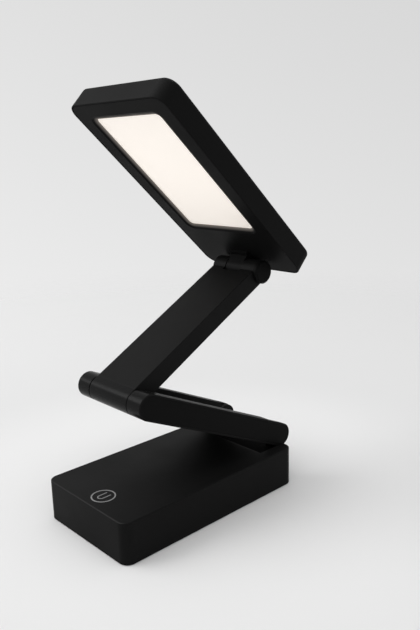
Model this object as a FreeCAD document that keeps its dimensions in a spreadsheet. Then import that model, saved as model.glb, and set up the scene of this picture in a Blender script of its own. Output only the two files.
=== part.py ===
"""Folding LED table lamp: a base that holds two round cells, two arms and a flat head.

The lamp is drawn standing open. Frame of the whole lamp: +Z up, +X to the right, -Y to the front, with the
origin on the table under the middle of the standing lamp's outline.

Each moving body is drawn lying flat, with its own hinge axis along X through its own origin. Its Placement
then opens it by the angles in the sheet.
"""

import FreeCAD
import Part
import Sketcher
import math
import os
import re

SIZES = {
    # Shared clearances
    "cut_overrun": "1",
    "fit_gap": "0.1",
    "run_gap": "0.05",
    # Points and cross recesses of all screws
    "screw_point": "1",
    "recess_rim": "0.6",
    "recess_width": "0.5",
    "recess_depth": "0.5",
    # Base shell
    "base_middle": "-7.4",
    "base_width": "78",
    "base_length": "138",
    "base_height": "25.5",
    "base_corner_radius": "6",
    "base_edge_radius": "0.8",
    "base_lower_radius": "0.4",
    "base_wall": "2",
    "base_roof": "2",
    # Bottom plate, its screws and the feet
    "plate_thickness": "2.4",
    "boss_radius": "3.2",
    "boss_inset": "7",
    "base_screw_radius": "1.25",
    "base_screw_length": "9",
    "base_screw_head_radius": "2.4",
    "base_screw_head_height": "1.4",
    "foot_height": "0.3",
    "foot_radius": "5",
    "foot_bevel": "0.2",
    "foot_recess": "0.6",
    "foot_inset_across": "12",
    "foot_inset_along": "14",
    # Cells, their bay and contacts
    "cell_radius": "9.2",
    "cell_length": "65",
    "cell_button_radius": "3",
    "cell_button_height": "1",
    "cell_float": "0.3",
    "bay_setback": "9",
    "bay_wall": "1.6",
    "bay_wall_lift": "1.6",
    "contact_width": "10",
    "contact_thickness": "0.4",
    "spring_depth": "6",
    "spring_width": "8",
    "spring_slit": "2.2",
    # Battery door
    "door_width": "40",
    "door_thickness": "1.6",
    "door_front_margin": "1.4",
    "door_rear_margin": "5.4",
    "door_travel": "6",
    "door_gap": "0.15",
    "door_tab_inset": "1.2",
    "door_tab_width": "2.6",
    "door_tab_post": "1.2",
    "door_tab_reach": "3.6",
    "door_tab_thickness": "1",
    "groove_width": "1",
    "groove_length": "18",
    "groove_depth": "0.5",
    "groove_pitch": "2.2",
    "groove_inset": "3",
    # Control board and touch sensor
    "board_side_gap": "11",
    "board_depth": "22",
    "board_thickness": "1.6",
    "board_drop": "4.4",
    "board_inset": "3",
    "board_post_radius": "2.6",
    "board_post_inset": "4",
    "board_screw_radius": "1",
    "board_screw_length": "4",
    "board_screw_head_radius": "1.9",
    "board_screw_head_height": "1.1",
    "chip_width": "6",
    "chip_depth": "5",
    "chip_height": "1.4",
    "touch_inset": "11.5",
    "touch_offset": "4",
    "touch_radius": "7",
    "touch_thickness": "0.3",
    "touch_post_radius": "2.4",
    # Charging inlet
    "socket_inset": "19",
    "socket_level": "12",
    "socket_width": "7",
    "socket_depth": "12",
    "socket_height": "6.2",
    "socket_collar_radius": "3",
    "socket_bore_radius": "1.8",
    "socket_bore_depth": "9",
    "socket_pin_radius": "0.65",
    "socket_pin_length": "7",
    "charge_board_width": "16",
    "charge_board_depth": "14",
    "charge_board_thickness": "1.6",
    "charge_post_radius": "2.2",
    "charge_post_inset": "3",
    # Rear hinge, between the base and the lower arm
    "rear_hinge_inset": "0.7",
    "hinge_sink": "2.3",
    "rest_angle": "6",
    "rest_side_gap": "0.6",
    "lug_inner_reach": "22.4",
    "lug_thickness": "3",
    "lug_radius": "7.4",
    "ear_gap": "0.4",
    "rear_pin_radius": "2",
    "rear_pin_head_radius": "3.2",
    "rear_pin_head_height": "1.1",
    "rear_washer_radius": "6",
    "rear_washer_thickness": "0.3",
    # Lower arm
    "lower_open_angle": "24.7",
    "arm_width": "60",
    "arm_radius": "7.7",
    "arm_length": "119.9",
    "arm_gap": "0.3",
    "arm_edge_radius": "0.4",
    "channel_floor": "2.4",
    "floor_front_gap": "0.5",
    "rail_wall": "2",
    "rail_end": "16",
    "rear_notch": "12.5",
    "cover_rim": "0.9",
    "cover_thickness": "1.6",
    "cover_sink": "0.15",
    # Middle hinge, between the two arms
    "middle_open_angle": "53.7",
    "hinge_gap": "0.5",
    "middle_bolt_radius": "2",
    "middle_head_radius": "3.7",
    "middle_head_height": "2.2",
    "middle_washer_radius": "6.2",
    "middle_washer_thickness": "0.4",
    # Upper arm
    "upper_width": "36",
    "upper_length": "118.6",
    "upper_thickness": "11.4",
    "upper_wall": "2",
    "upper_edge_radius": "0.5",
    "upper_side_wall": "3",
    "upper_ledge": "1.4",
    "upper_pocket_start": "14",
    "upper_pocket_end": "101",
    "back_cover_thickness": "1.6",
    "arm_boss_radius": "2.6",
    "arm_boss_reach": "10.5",
    "arm_boss_inset": "7",
    "arm_screw_radius": "1",
    "arm_screw_length": "6",
    "arm_screw_head_radius": "1.9",
    "arm_screw_head_height": "0.8",
    # Top hinge, between the upper arm and the head
    "head_open_angle": "72",
    "top_offset": "2.7",
    "top_radius": "7.4",
    "top_bolt_radius": "1.75",
    "top_head_radius": "3",
    "top_head_height": "2",
    "top_lug_width": "13.4",
    "top_lug_radius": "7",
    "top_lug_gap": "0.4",
    "top_lug_back": "5.2",
    "top_slot_gap": "0.6",
    "top_washer_radius": "6",
    "top_washer_thickness": "0.3",
    "end_cap_length": "3.2",
    "end_cap_chamfer": "1.1",
    # Head shell and bezel
    "head_width": "83",
    "head_length": "151.3",
    "head_thickness": "14.4",
    "head_corner_radius": "8",
    "head_back_radius": "2.4",
    "head_wall": "1.8",
    "head_rim": "0.7",
    "head_face_radius": "0.4",
    "head_back": "2",
    "head_tail": "10.4",
    "face_offset": "8.3",
    "bezel_thickness": "1.8",
    "bezel_sink": "0.15",
    "bezel_gap": "0.4",
    "window_side_margin": "13.5",
    "window_tail_margin": "42.9",
    "window_top_margin": "12.7",
    "window_radius": "3",
    "window_bevel": "3.2",
    "window_bevel_depth": "1.5",
    "lip_height": "2.2",
    "lip_depth": "2",
    "lip_width": "15",
    # Light unit
    "diffuser_thickness": "1.5",
    "diffuser_margin": "3",
    "frame_wall": "1.2",
    "led_board_thickness": "1.2",
    "led_width": "2.8",
    "led_length": "3.5",
    "led_height": "0.8",
    "led_side_margin": "7",
    "led_end_margin": "9",
    # Head lug fixing
    "lug_foot_width": "34",
    "lug_foot_front": "9",
    "lug_foot_back": "6.4",
    "lug_foot_thickness": "2.4",
    "lug_boss_reach": "12",
    "lug_boss_radius": "2.8",
    "lug_screw_radius": "1.1",
    "lug_screw_length": "7",
    "lug_screw_head_radius": "2.1",
    "lug_screw_head_height": "1.2",
}

PLACES = {
    # Base
    "roof_level": "base_height - base_roof",
    "plate_top": "foot_height + plate_thickness",
    "half_base": "base_width / 2",
    "base_front": "base_middle - base_length / 2",
    "base_rear": "base_middle + base_length / 2",
    "boss_across": "base_width / 2 - boss_inset",
    "boss_along": "base_length / 2 - boss_inset",
    "foot_across": "base_width / 2 - foot_inset_across",
    "foot_along": "base_length / 2 - foot_inset_along",
    "bay_middle": "base_middle + bay_setback",
    "cell_across": "cell_radius + cell_float",
    "cell_level": "foot_height + door_thickness + cell_float + cell_radius",
    "cell_front": "bay_middle - cell_length / 2",
    "cell_rear": "bay_middle + cell_length / 2",
    "bay_front": "cell_front - contact_thickness - 2 * run_gap",
    "bay_rear": "cell_rear + spring_depth",
    "bay_half": "2 * cell_radius + 3 * cell_float",
    "bay_bottom": "plate_top + bay_wall_lift",
    "bow_radius": "(spring_depth - contact_thickness + fit_gap - run_gap) / 2",
    "door_front": "cell_front - door_front_margin",
    "door_rear": "cell_rear + door_rear_margin",
    "door_top": "foot_height + door_thickness",
    "half_board": "half_base - base_wall - board_side_gap",
    "board_top": "roof_level - board_drop",
    "board_bottom": "roof_level - board_drop - board_thickness",
    "board_front": "base_front + base_wall + board_inset",
    "board_rear": "base_front + base_wall + board_inset + board_depth",
    "board_post_across": "half_board - board_post_inset",
    "board_post_along": "board_rear - board_post_inset",
    "touch_along": "base_front + touch_inset",
    "socket_place": "half_base - socket_inset",
    "socket_bottom": "socket_level - socket_height / 2",
    "socket_front": "base_rear - base_wall - socket_depth",
    "charge_board_bottom": "socket_bottom - charge_board_thickness",
    "charge_board_rear": "base_rear - base_wall - fit_gap",
    # Hinge axes of the standing lamp
    "rear_hinge_along": "base_rear - rear_hinge_inset",
    "rear_hinge_level": "base_height + arm_gap + arm_radius - hinge_sink",
    "rest_radius": "arm_radius + arm_gap",
    "rest_low": "rear_hinge_level - rest_radius",
    "rest_reach": "half_arm + rest_side_gap",
    "middle_hinge_along": "rear_hinge_along - arm_length * cos(lower_open_angle)",
    "middle_hinge_level": "rear_hinge_level + arm_length * sin(lower_open_angle)",
    "upper_lean": "middle_open_angle - lower_open_angle",
    "top_hinge_along": "middle_hinge_along + upper_length * cos(upper_lean) - top_offset * sin(upper_lean)",
    "top_hinge_level": "middle_hinge_level + upper_length * sin(upper_lean) + top_offset * cos(upper_lean)",
    "head_lean": "head_open_angle - upper_lean",
    # Lower arm, from its rear axis
    "lug_outer_reach": "lug_inner_reach + lug_thickness",
    "ear_inner_reach": "lug_outer_reach + ear_gap",
    "half_arm": "arm_width / 2",
    "cover_seat": "half_arm - cover_thickness",
    "rail_inner_reach": "upper_width / 2 + hinge_gap",
    "cover_radius": "arm_radius - cover_rim",
    # Upper arm, from the middle axis
    "half_upper": "upper_width / 2",
    "upper_back": "arm_radius - upper_thickness",
    "back_cover_inside": "upper_back + back_cover_thickness",
    "upper_pocket_top": "arm_radius - upper_wall",
    "top_slot_start": "upper_length - top_radius - top_slot_gap",
    "half_slot": "top_lug_width / 2 + top_lug_gap",
    # Head, from the top axis
    "half_head": "head_width / 2",
    "head_front": "head_tail - head_length",
    "head_top": "face_offset + head_thickness",
    "head_inside": "head_top - head_back",
    "bezel_face": "face_offset + bezel_sink",
    "bezel_inside": "bezel_face + bezel_thickness",
    "window_front": "head_front + window_top_margin",
    "window_rear": "head_tail - window_tail_margin",
    "half_window": "half_head - window_side_margin",
    "diffuser_face": "bezel_inside + fit_gap",
    "diffuser_back": "diffuser_face + diffuser_thickness",
    "half_diffuser": "half_window + diffuser_margin",
    "diffuser_front": "window_front - diffuser_margin",
    "diffuser_rear": "window_rear + diffuser_margin",
    "led_board_back": "head_inside - fit_gap",
    "led_board_face": "led_board_back - led_board_thickness",
    "lug_foot_face": "bezel_inside + fit_gap",
    "lug_foot_back_face": "lug_foot_face + lug_foot_thickness",
}

SIDES = ("left", "right")

doc = FreeCAD.newDocument("led_table_lamp")
nodes = {}


def full(expression):
    """An expression with each of its names prefixed by the sheet that holds it."""

    def owned(match):
        name = match.group(0)
        if name in SIZES:
            return "Sizes." + name
        if name in PLACES:
            return "Places." + name
        return name

    return re.sub(r"[a-z][a-z_]*", owned, expression)


def fill_sheets():
    """Write the driving sizes and the places that follow from them, one alias per row."""
    sizes = doc.addObject("Spreadsheet::Sheet", "Sizes")
    for row, (name, number) in enumerate(SIZES.items(), start=1):
        sizes.set(f"A{row}", name)
        sizes.set(f"B{row}", number)
        sizes.setAlias(f"B{row}", name)
    places = doc.addObject("Spreadsheet::Sheet", "Places")
    for row, (name, expression) in enumerate(PLACES.items(), start=1):
        places.set(f"A{row}", name)
        places.set(f"B{row}", "=" + full(expression))
        places.setAlias(f"B{row}", name)
    doc.recompute()


def value(expression):
    """The number that an expression gives now."""
    return float(doc.Sizes.evalExpression(full(expression)))


def bind(item, path, expression):
    """Tie one property of a document object to the sheets."""
    item.setExpression(path, full(expression))


def across(side, low, high):
    """Bounds along X of one piece of a pair, from its distances to the middle plane."""
    if side == "left":
        return f"-({high})", f"-({low})"
    return low, high


def place_across(side, reach):
    """The X place of one piece of a pair."""
    return f"-({reach})" if side == "left" else reach


def block(name, x, y, z):
    """A box between two bounds along each axis."""
    box = doc.addObject("Part::Box", name)
    for size, letter, (low, high) in zip(("Length", "Width", "Height"), "xyz", (x, y, z)):
        bind(box, size, f"({high}) - ({low})")
        bind(box, f"Placement.Base.{letter}", low)
    return box


TURNS = {
    "X": FreeCAD.Rotation(FreeCAD.Vector(0, 1, 0), 90),
    "Y": FreeCAD.Rotation(FreeCAD.Vector(1, 0, 0), -90),
    "Z": FreeCAD.Rotation(),
}


def stand(item, axis, low, centre):
    """Turn an object that is drawn along Z onto an axis, starting at low and centred across it."""
    item.Placement = FreeCAD.Placement(FreeCAD.Vector(), TURNS[axis])
    crossing = [letter for letter in "xyz" if letter != axis.lower()]
    bind(item, f"Placement.Base.{axis.lower()}", low)
    for letter, expression in zip(crossing, centre):
        bind(item, f"Placement.Base.{letter}", expression)
    return item


def rod(name, axis, span, centre, radius):
    """A cylinder along an axis between the two ends of span."""
    low, high = span
    cylinder = doc.addObject("Part::Cylinder", name)
    bind(cylinder, "Radius", radius)
    bind(cylinder, "Height", f"({high}) - ({low})")
    return stand(cylinder, axis, low, centre)


def hexagon(name, axis, span, centre, radius):
    """A six-sided prism along an axis, its corners at the radius."""
    low, high = span
    prism = doc.addObject("Part::Prism", name)
    prism.Polygon = 6
    bind(prism, "Circumradius", radius)
    bind(prism, "Height", f"({high}) - ({low})")
    return stand(prism, axis, low, centre)


def fuse(name, *shapes):
    """Several overlapping shapes joined into one."""
    joined = doc.addObject("Part::MultiFuse", name)
    joined.Shapes = list(shapes)
    joined.Refine = True
    return joined


def cut(name, base, *tools):
    """A shape with every tool taken out of it."""
    result = doc.addObject("Part::Cut", name)
    result.Base = base
    result.Tool = tools[0] if len(tools) == 1 else fuse(name + "_tools", *tools)
    result.Refine = True
    return result


def ring(name, axis, span, centre, outer, inner):
    """A washer or tube."""
    hole_span = (f"({span[0]}) - cut_overrun", f"({span[1]}) + cut_overrun")
    disc = rod(name + "_disc", axis, span, centre, outer)
    return cut(name, disc, rod(name + "_hole", axis, hole_span, centre, inner))


def plane_sketch(body, name, role):
    """An empty sketch on one of a body's own origin planes."""
    sketch = body.newObject("Sketcher::SketchObject", name)
    plane = [feature for feature in body.Origin.OriginFeatures if feature.Role == role][0]
    sketch.AttachmentSupport = [(plane, "")]
    sketch.MapMode = "FlatFace"
    return sketch


def drive(sketch, *parts):
    """Add a dimension to a sketch and tie it to the sheets; the last of parts is its expression."""
    constraint = Sketcher.Constraint(*parts[:-1], value(parts[-1]))
    bind(sketch, f"Constraints[{sketch.addConstraint(constraint)}]", parts[-1])


def outline_sketch(body, name, x, y, level):
    """A rectangle sketch on the body's XY plane, each of its four sides tied to the sheets."""
    sketch = plane_sketch(body, name, "XY_Plane")
    bind(sketch, "AttachmentOffset.Base.z", level)
    left, right = value(x[0]), value(x[1])
    front, rear = value(y[0]), value(y[1])
    corners = [(left, front), (right, front), (right, rear), (left, rear)]
    points = [FreeCAD.Vector(*corner, 0) for corner in corners]
    for start, end in zip(points, points[1:] + points[:1]):
        sketch.addGeometry(Part.LineSegment(start, end), False)
    for side in range(len(points)):
        sketch.addConstraint(Sketcher.Constraint("Coincident", side, 2, (side + 1) % len(points), 1))
    for kind, first, second in (("Horizontal", 0, 2), ("Vertical", 1, 3)):
        sketch.addConstraint(Sketcher.Constraint(kind, first))
        sketch.addConstraint(Sketcher.Constraint(kind, second))
    drive(sketch, "DistanceX", -1, 1, 0, 1, x[0])
    drive(sketch, "DistanceY", -1, 1, 0, 1, y[0])
    drive(sketch, "DistanceX", -1, 1, 1, 2, x[1])
    drive(sketch, "DistanceY", -1, 1, 1, 2, y[1])
    return sketch


def round_edges(body, name, base, radius, chosen):
    """A PartDesign fillet on the edges of base that a test picks."""
    doc.recompute()
    picked = [f"Edge{number}" for number, edge in enumerate(base.Shape.Edges, start=1) if chosen(edge)]
    fillet = body.newObject("PartDesign::Fillet", name)
    fillet.Base = (base, picked)
    bind(fillet, "Radius", radius)
    doc.recompute()
    return fillet


def is_upright(edge):
    """Whether an edge runs along Z."""
    low, high = edge.Vertexes[0].Point, edge.Vertexes[-1].Point
    return abs(low.x - high.x) + abs(low.y - high.y) < Part.Precision.confusion() < abs(low.z - high.z)


def is_beside(edge, side):
    """Whether every end of an edge lies at a place along X."""
    return all(abs(vertex.X - side) < Part.Precision.confusion() for vertex in edge.Vertexes)


def is_front_side(edge):
    """Whether an edge of the upper bar runs straight along its front face, beside one of its sides."""
    crosswise = abs(edge.Vertexes[0].X - edge.Vertexes[-1].X) > Part.Precision.confusion()
    return edge.Curve.TypeId == "Part::GeomLine" and edge.CenterOfMass.z > 0 and not crosswise


def is_level(edge, level):
    """Whether every end of an edge lies at a level."""
    return all(abs(vertex.Z - level) < Part.Precision.confusion() for vertex in edge.Vertexes)


def rounded_plate(name, x, y, z, radius, rim=None, lower_rim=None):
    """A rectangle with round corners, padded along Z; each rim is rounded where its radius is given."""
    body = doc.addObject("PartDesign::Body", name)
    sketch = outline_sketch(body, name + "_outline", x, y, z[0])
    pad = body.newObject("PartDesign::Pad", name + "_pad")
    pad.Profile = sketch
    bind(pad, "Length", f"({z[1]}) - ({z[0]})")
    shape = round_edges(body, name + "_corners", pad, radius, is_upright)
    for part, size, place in (("_rim", rim, z[1]), ("_lower_rim", lower_rim, z[0])):
        if size:
            level = value(place)
            shape = round_edges(body, name + part, shape, size, lambda edge: is_level(edge, level))
    return body


def slope_rim(body, name, place, depth, reach):
    """A slope round the upper rim of a padded body: depth is its fall and reach its width across."""
    doc.recompute()
    base = body.Tip
    level = value(place)
    picked = [
        f"Edge{number}" for number, edge in enumerate(base.Shape.Edges, start=1) if is_level(edge, level)
    ]
    slope = body.newObject("PartDesign::Chamfer", name)
    slope.Base = (base, picked)
    slope.ChamferType = "Two distances"
    bind(slope, "Size", depth)
    bind(slope, "Size2", reach)
    doc.recompute()
    return slope


LATHE_TURNS = {
    "X": FreeCAD.Rotation(),
    "Y": FreeCAD.Rotation(FreeCAD.Vector(0, 0, 1), 90),
    "Z": FreeCAD.Rotation(FreeCAD.Vector(0, 1, 0), -90),
}


def turned(name, axis, centre, profile):
    """A turned piece: corners of its half profile, each a place along the axis and a radius, revolved."""
    body = doc.addObject("PartDesign::Body", name)
    sketch = plane_sketch(body, name + "_profile", "XY_Plane")
    points = [FreeCAD.Vector(value(along), value(radius), 0) for along, radius in profile]
    for start, end in zip(points, points[1:] + points[:1]):
        sketch.addGeometry(Part.LineSegment(start, end), False)
    for corner in range(len(points)):
        sketch.addConstraint(Sketcher.Constraint("Coincident", corner, 2, (corner + 1) % len(points), 1))
    for corner, (along, radius) in enumerate(profile):
        for kind, axis_line, expression in (("DistanceX", -2, along), ("DistanceY", -1, radius)):
            if expression == "0":
                sketch.addConstraint(Sketcher.Constraint("PointOnObject", corner, 1, axis_line))
            else:
                drive(sketch, kind, -1, 1, corner, 1, expression)
    spin = body.newObject("PartDesign::Revolution", name + "_spin")
    spin.Profile = sketch
    spin.ReferenceAxis = (sketch, ["H_Axis"])
    body.Placement = FreeCAD.Placement(FreeCAD.Vector(), LATHE_TURNS[axis])
    crossing = [letter for letter in "xyz" if letter != axis.lower()]
    for letter, expression in zip(crossing, centre):
        bind(body, f"Placement.Base.{letter}", expression)
    return body


FRAMES = {
    "lowest_arm": ("rear_hinge_along", "rear_hinge_level", "rest_angle", FreeCAD.Vector(-1, 0, 0)),
    "lower_arm": ("rear_hinge_along", "rear_hinge_level", "lower_open_angle", FreeCAD.Vector(-1, 0, 0)),
    "upper_arm": ("middle_hinge_along", "middle_hinge_level", "upper_lean", FreeCAD.Vector(1, 0, 0)),
    "head": ("top_hinge_along", "top_hinge_level", "head_lean", FreeCAD.Vector(-1, 0, 0)),
}


def open_about(item, frame):
    """Turn an object that is drawn lying about its own X axis, and carry it to its hinge."""
    along, level, angle, axis = FRAMES[frame]
    item.Placement = FreeCAD.Placement(FreeCAD.Vector(), FreeCAD.Rotation(axis, value(angle)))
    bind(item, "Placement.Base.y", along)
    bind(item, "Placement.Base.z", level)
    bind(item, "Placement.Rotation.Angle", angle)
    return item


def keep(label, item, frame=None):
    """Name a finished sub-part; one on a moving body is gathered and opened about its body's hinge."""
    if frame:
        return keep_group(label, [item], frame)
    item.Label = label
    nodes[label] = item
    return item


def keep_group(label, items, frame=None):
    """Keep one or more separate solids as one sub-part."""
    group = doc.addObject("Part::Compound", label + "_group")
    group.Links = items
    if frame:
        open_about(group, frame)
    return keep(label, group)


def screw(name, seat, tip, centre, shank, head, head_end):
    """An upright screw with a point at its tip, and a cross recess in the end of its head."""
    upward = value(tip) > value(seat)
    run = f"({tip}) - screw_point" if upward else f"({tip}) + screw_point"
    profile = [(tip, "0"), (run, shank), (seat, shank), (seat, head), (head_end, head), (head_end, "0")]
    blank = turned(name + "_blank", "Z", centre, profile)
    outside, inside = ("-", "+") if upward else ("+", "-")
    ends = [f"({head_end}) {outside} cut_overrun", f"({head_end}) {inside} recess_depth"]
    depth = ends if upward else ends[::-1]
    x, y = centre
    long_x = (f"{x} - ({head} - recess_rim)", f"{x} + ({head} - recess_rim)")
    long_y = (f"{y} - ({head} - recess_rim)", f"{y} + ({head} - recess_rim)")
    thin_x = (f"{x} - recess_width / 2", f"{x} + recess_width / 2")
    thin_y = (f"{y} - recess_width / 2", f"{y} + recess_width / 2")
    first = block(name + "_first_slot", long_x, thin_y, depth)
    second = block(name + "_second_slot", thin_x, long_y, depth)
    return cut(name, blank, first, second)


def corner_places(x, y):
    """The four places of a pattern that is alike on both sides of both of the base's middle planes."""
    return [(sign_x + x, f"base_middle {sign_y} {y}") for sign_x in ("-", "") for sign_y in ("-", "+")]


# The base


def base_housing():
    """Deep top shell with bosses, bay walls, board posts, the hollow the arm rests in and two hinge lugs."""
    inner_x = ("-half_base + base_wall", "half_base - base_wall")
    inner_y = ("base_front + base_wall", "base_rear - base_wall")
    skirt = ("foot_height", "base_height")
    shell = cut(
        "housing_shell",
        rounded_plate(
            "housing_outside",
            ("-half_base", "half_base"),
            ("base_front", "base_rear"),
            skirt,
            "base_corner_radius",
            "base_edge_radius",
            "base_lower_radius",
        ),
        rounded_plate(
            "housing_inside",
            inner_x,
            inner_y,
            ("foot_height - cut_overrun", "roof_level"),
            "base_corner_radius - base_wall",
        ),
    )
    added = [shell]
    into_roof = "roof_level + base_roof / 2"
    for number, place in enumerate(corner_places("boss_across", "boss_along")):
        added.append(rod(f"housing_boss_{number}", "Z", ("plate_top", into_roof), place, "boss_radius"))
    bay_x = ("-bay_half - bay_wall", "bay_half + bay_wall")
    bay_z = ("bay_bottom", into_roof)
    added.append(block("bay_front_wall", bay_x, ("bay_front - bay_wall", "bay_front"), bay_z))
    added.append(block("bay_rear_wall", bay_x, ("bay_rear", "bay_rear + bay_wall"), bay_z))
    for side in SIDES:
        added.append(
            block(
                f"bay_{side}_wall",
                across(side, "bay_half", "bay_half + bay_wall"),
                ("bay_front - bay_wall", "bay_rear + bay_wall"),
                bay_z,
            )
        )
        post = (place_across(side, "board_post_across"), "board_post_along")
        added.append(rod(f"board_{side}_post", "Z", ("board_top", into_roof), post, "board_post_radius"))
    pad_x = ("-rest_reach - base_wall", "rest_reach + base_wall")
    pad_z = ("rest_low - base_roof", into_roof)
    added.append(block("rest_pad", pad_x, ("bay_rear", "base_rear - base_wall / 2"), pad_z))
    rest = open_about(slot_bar("arm_rest", ("-rest_reach", "rest_reach"), "rest_radius"), "lowest_arm")
    lugged = [cut("housing_rested", fuse("housing_core", *added), rest)]
    for side in SIDES:
        lug_x = across(side, "lug_inner_reach", "lug_outer_reach")
        lugged.append(
            rod(f"hinge_{side}_eye", "X", lug_x, ("rear_hinge_along", "rear_hinge_level"), "lug_radius")
        )
        lugged.append(
            block(
                f"hinge_{side}_foot",
                lug_x,
                ("rear_hinge_along - lug_radius", "base_rear - base_edge_radius"),
                ("rest_low - base_roof / 2", "rear_hinge_level"),
            )
        )
    body = fuse("housing_body", *lugged)
    holes = []
    for number, place in enumerate(corner_places("boss_across", "boss_along")):
        span = ("plate_top - cut_overrun", "plate_top + base_screw_length")
        holes.append(rod(f"housing_pilot_{number}", "Z", span, place, "base_screw_radius + run_gap"))
    for side in SIDES:
        post = (place_across(side, "board_post_across"), "board_post_along")
        span = ("board_top - cut_overrun", "board_top + board_screw_length - board_thickness")
        holes.append(rod(f"board_{side}_pilot", "Z", span, post, "board_screw_radius + run_gap"))
        bore = across(side, "lug_inner_reach - cut_overrun", "lug_outer_reach + cut_overrun")
        axis = ("rear_hinge_along", "rear_hinge_level")
        holes.append(rod(f"hinge_{side}_bore", "X", bore, axis, "rear_pin_radius + run_gap"))
    wall_span = ("base_rear - base_wall - cut_overrun", "base_rear + cut_overrun")
    holes.append(
        rod("inlet_hole", "Y", wall_span, ("socket_place", "socket_level"), "socket_collar_radius + fit_gap")
    )
    keep("base_housing", cut("housing", body, *holes))


def base_plate():
    """Bottom plate, set into the skirt, with the door's opening and grip, screw holes and foot recesses."""
    margin = "(base_wall + fit_gap)"
    plate = rounded_plate(
        "plate_blank",
        (f"-half_base + {margin}", f"half_base - {margin}"),
        (f"base_front + {margin}", f"base_rear - {margin}"),
        ("foot_height", "plate_top"),
        f"base_corner_radius - {margin}",
    )
    posts = [plate]
    for number, sign in enumerate(("-", "+")):
        place = (
            f"socket_place {sign} (charge_board_width / 2 - charge_post_inset)",
            "charge_board_rear - charge_board_depth + charge_post_inset",
        )
        span = ("foot_height + plate_thickness / 2", "charge_board_bottom")
        posts.append(rod(f"charge_post_{number}", "Z", span, place, "charge_post_radius"))
    holes = [
        block(
            "door_opening",
            ("-door_width / 2 - door_gap", "door_width / 2 + door_gap"),
            ("door_front - door_gap", "door_rear + door_gap"),
            ("foot_height - cut_overrun", "plate_top + cut_overrun"),
        ),
        block(
            "door_grip",
            ("-door_width / 2 - door_gap", "door_width / 2 + door_gap"),
            ("door_front - door_gap - door_travel", "door_front"),
            ("foot_height - cut_overrun", "door_top + door_gap"),
        ),
    ]
    through = ("foot_height - cut_overrun", "plate_top + cut_overrun")
    sunk = ("foot_height - cut_overrun", "foot_height + base_screw_head_height")
    for number, place in enumerate(corner_places("boss_across", "boss_along")):
        holes.append(rod(f"plate_hole_{number}", "Z", through, place, "base_screw_radius + fit_gap"))
        holes.append(rod(f"plate_sink_{number}", "Z", sunk, place, "base_screw_head_radius + fit_gap"))
    recess = ("foot_height - cut_overrun", "foot_height + foot_recess")
    for number, place in enumerate(corner_places("foot_across", "foot_along")):
        holes.append(rod(f"foot_seat_{number}", "Z", recess, place, "foot_radius + fit_gap"))
    keep("base_plate", cut("plate", fuse("plate_body", *posts), *holes))


def base_fasteners():
    """Plate screws and rubber feet."""
    screws = []
    feet = []
    seat = "foot_height + base_screw_head_height"
    for number, place in enumerate(corner_places("boss_across", "boss_along")):
        screws.append(
            screw(
                f"base_screw_{number}",
                seat,
                f"{seat} + base_screw_length",
                place,
                "base_screw_radius",
                "base_screw_head_radius",
                "foot_height",
            )
        )
    for number, place in enumerate(corner_places("foot_across", "foot_along")):
        top = "foot_height + foot_recess"
        profile = [
            ("0", "0"),
            ("0", "foot_radius - foot_bevel"),
            ("foot_bevel", "foot_radius"),
            (top, "foot_radius"),
            (top, "0"),
        ]
        feet.append(turned(f"foot_{number}", "Z", place, profile))
    keep_group("base_screws", screws)
    keep_group("rubber_feet", feet)


def battery_door():
    """Sliding door with grip grooves, and two hooks that reach over the plate at its rear end."""
    panel = block(
        "door_panel",
        ("-door_width / 2", "door_width / 2"),
        ("door_front", "door_rear"),
        ("foot_height", "door_top"),
    )
    pieces = [panel]
    hook_bottom = "plate_top + fit_gap"
    hook_top = "plate_top + fit_gap + door_tab_thickness"
    for side in SIDES:
        hook_end = "door_width / 2 - door_tab_inset"
        hook_x = across(side, f"{hook_end} - door_tab_width", hook_end)
        post_y = ("door_rear - door_tab_post", "door_rear")
        pieces.append(block(f"door_{side}_post", hook_x, post_y, ("foot_height", hook_top)))
        pieces.append(
            block(
                f"door_{side}_hook",
                hook_x,
                ("door_rear - door_tab_post", "door_rear + door_tab_reach"),
                (hook_bottom, hook_top),
            )
        )
    grooves = []
    for number in range(4):
        front = f"door_front + groove_inset + {number} * groove_pitch"
        grooves.append(
            block(
                f"door_groove_{number}",
                ("-groove_length / 2", "groove_length / 2"),
                (front, f"{front} + groove_width"),
                ("foot_height - cut_overrun", "foot_height + groove_depth"),
            )
        )
    keep("battery_door", cut("door", fuse("door_body", *pieces), *grooves))


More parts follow.
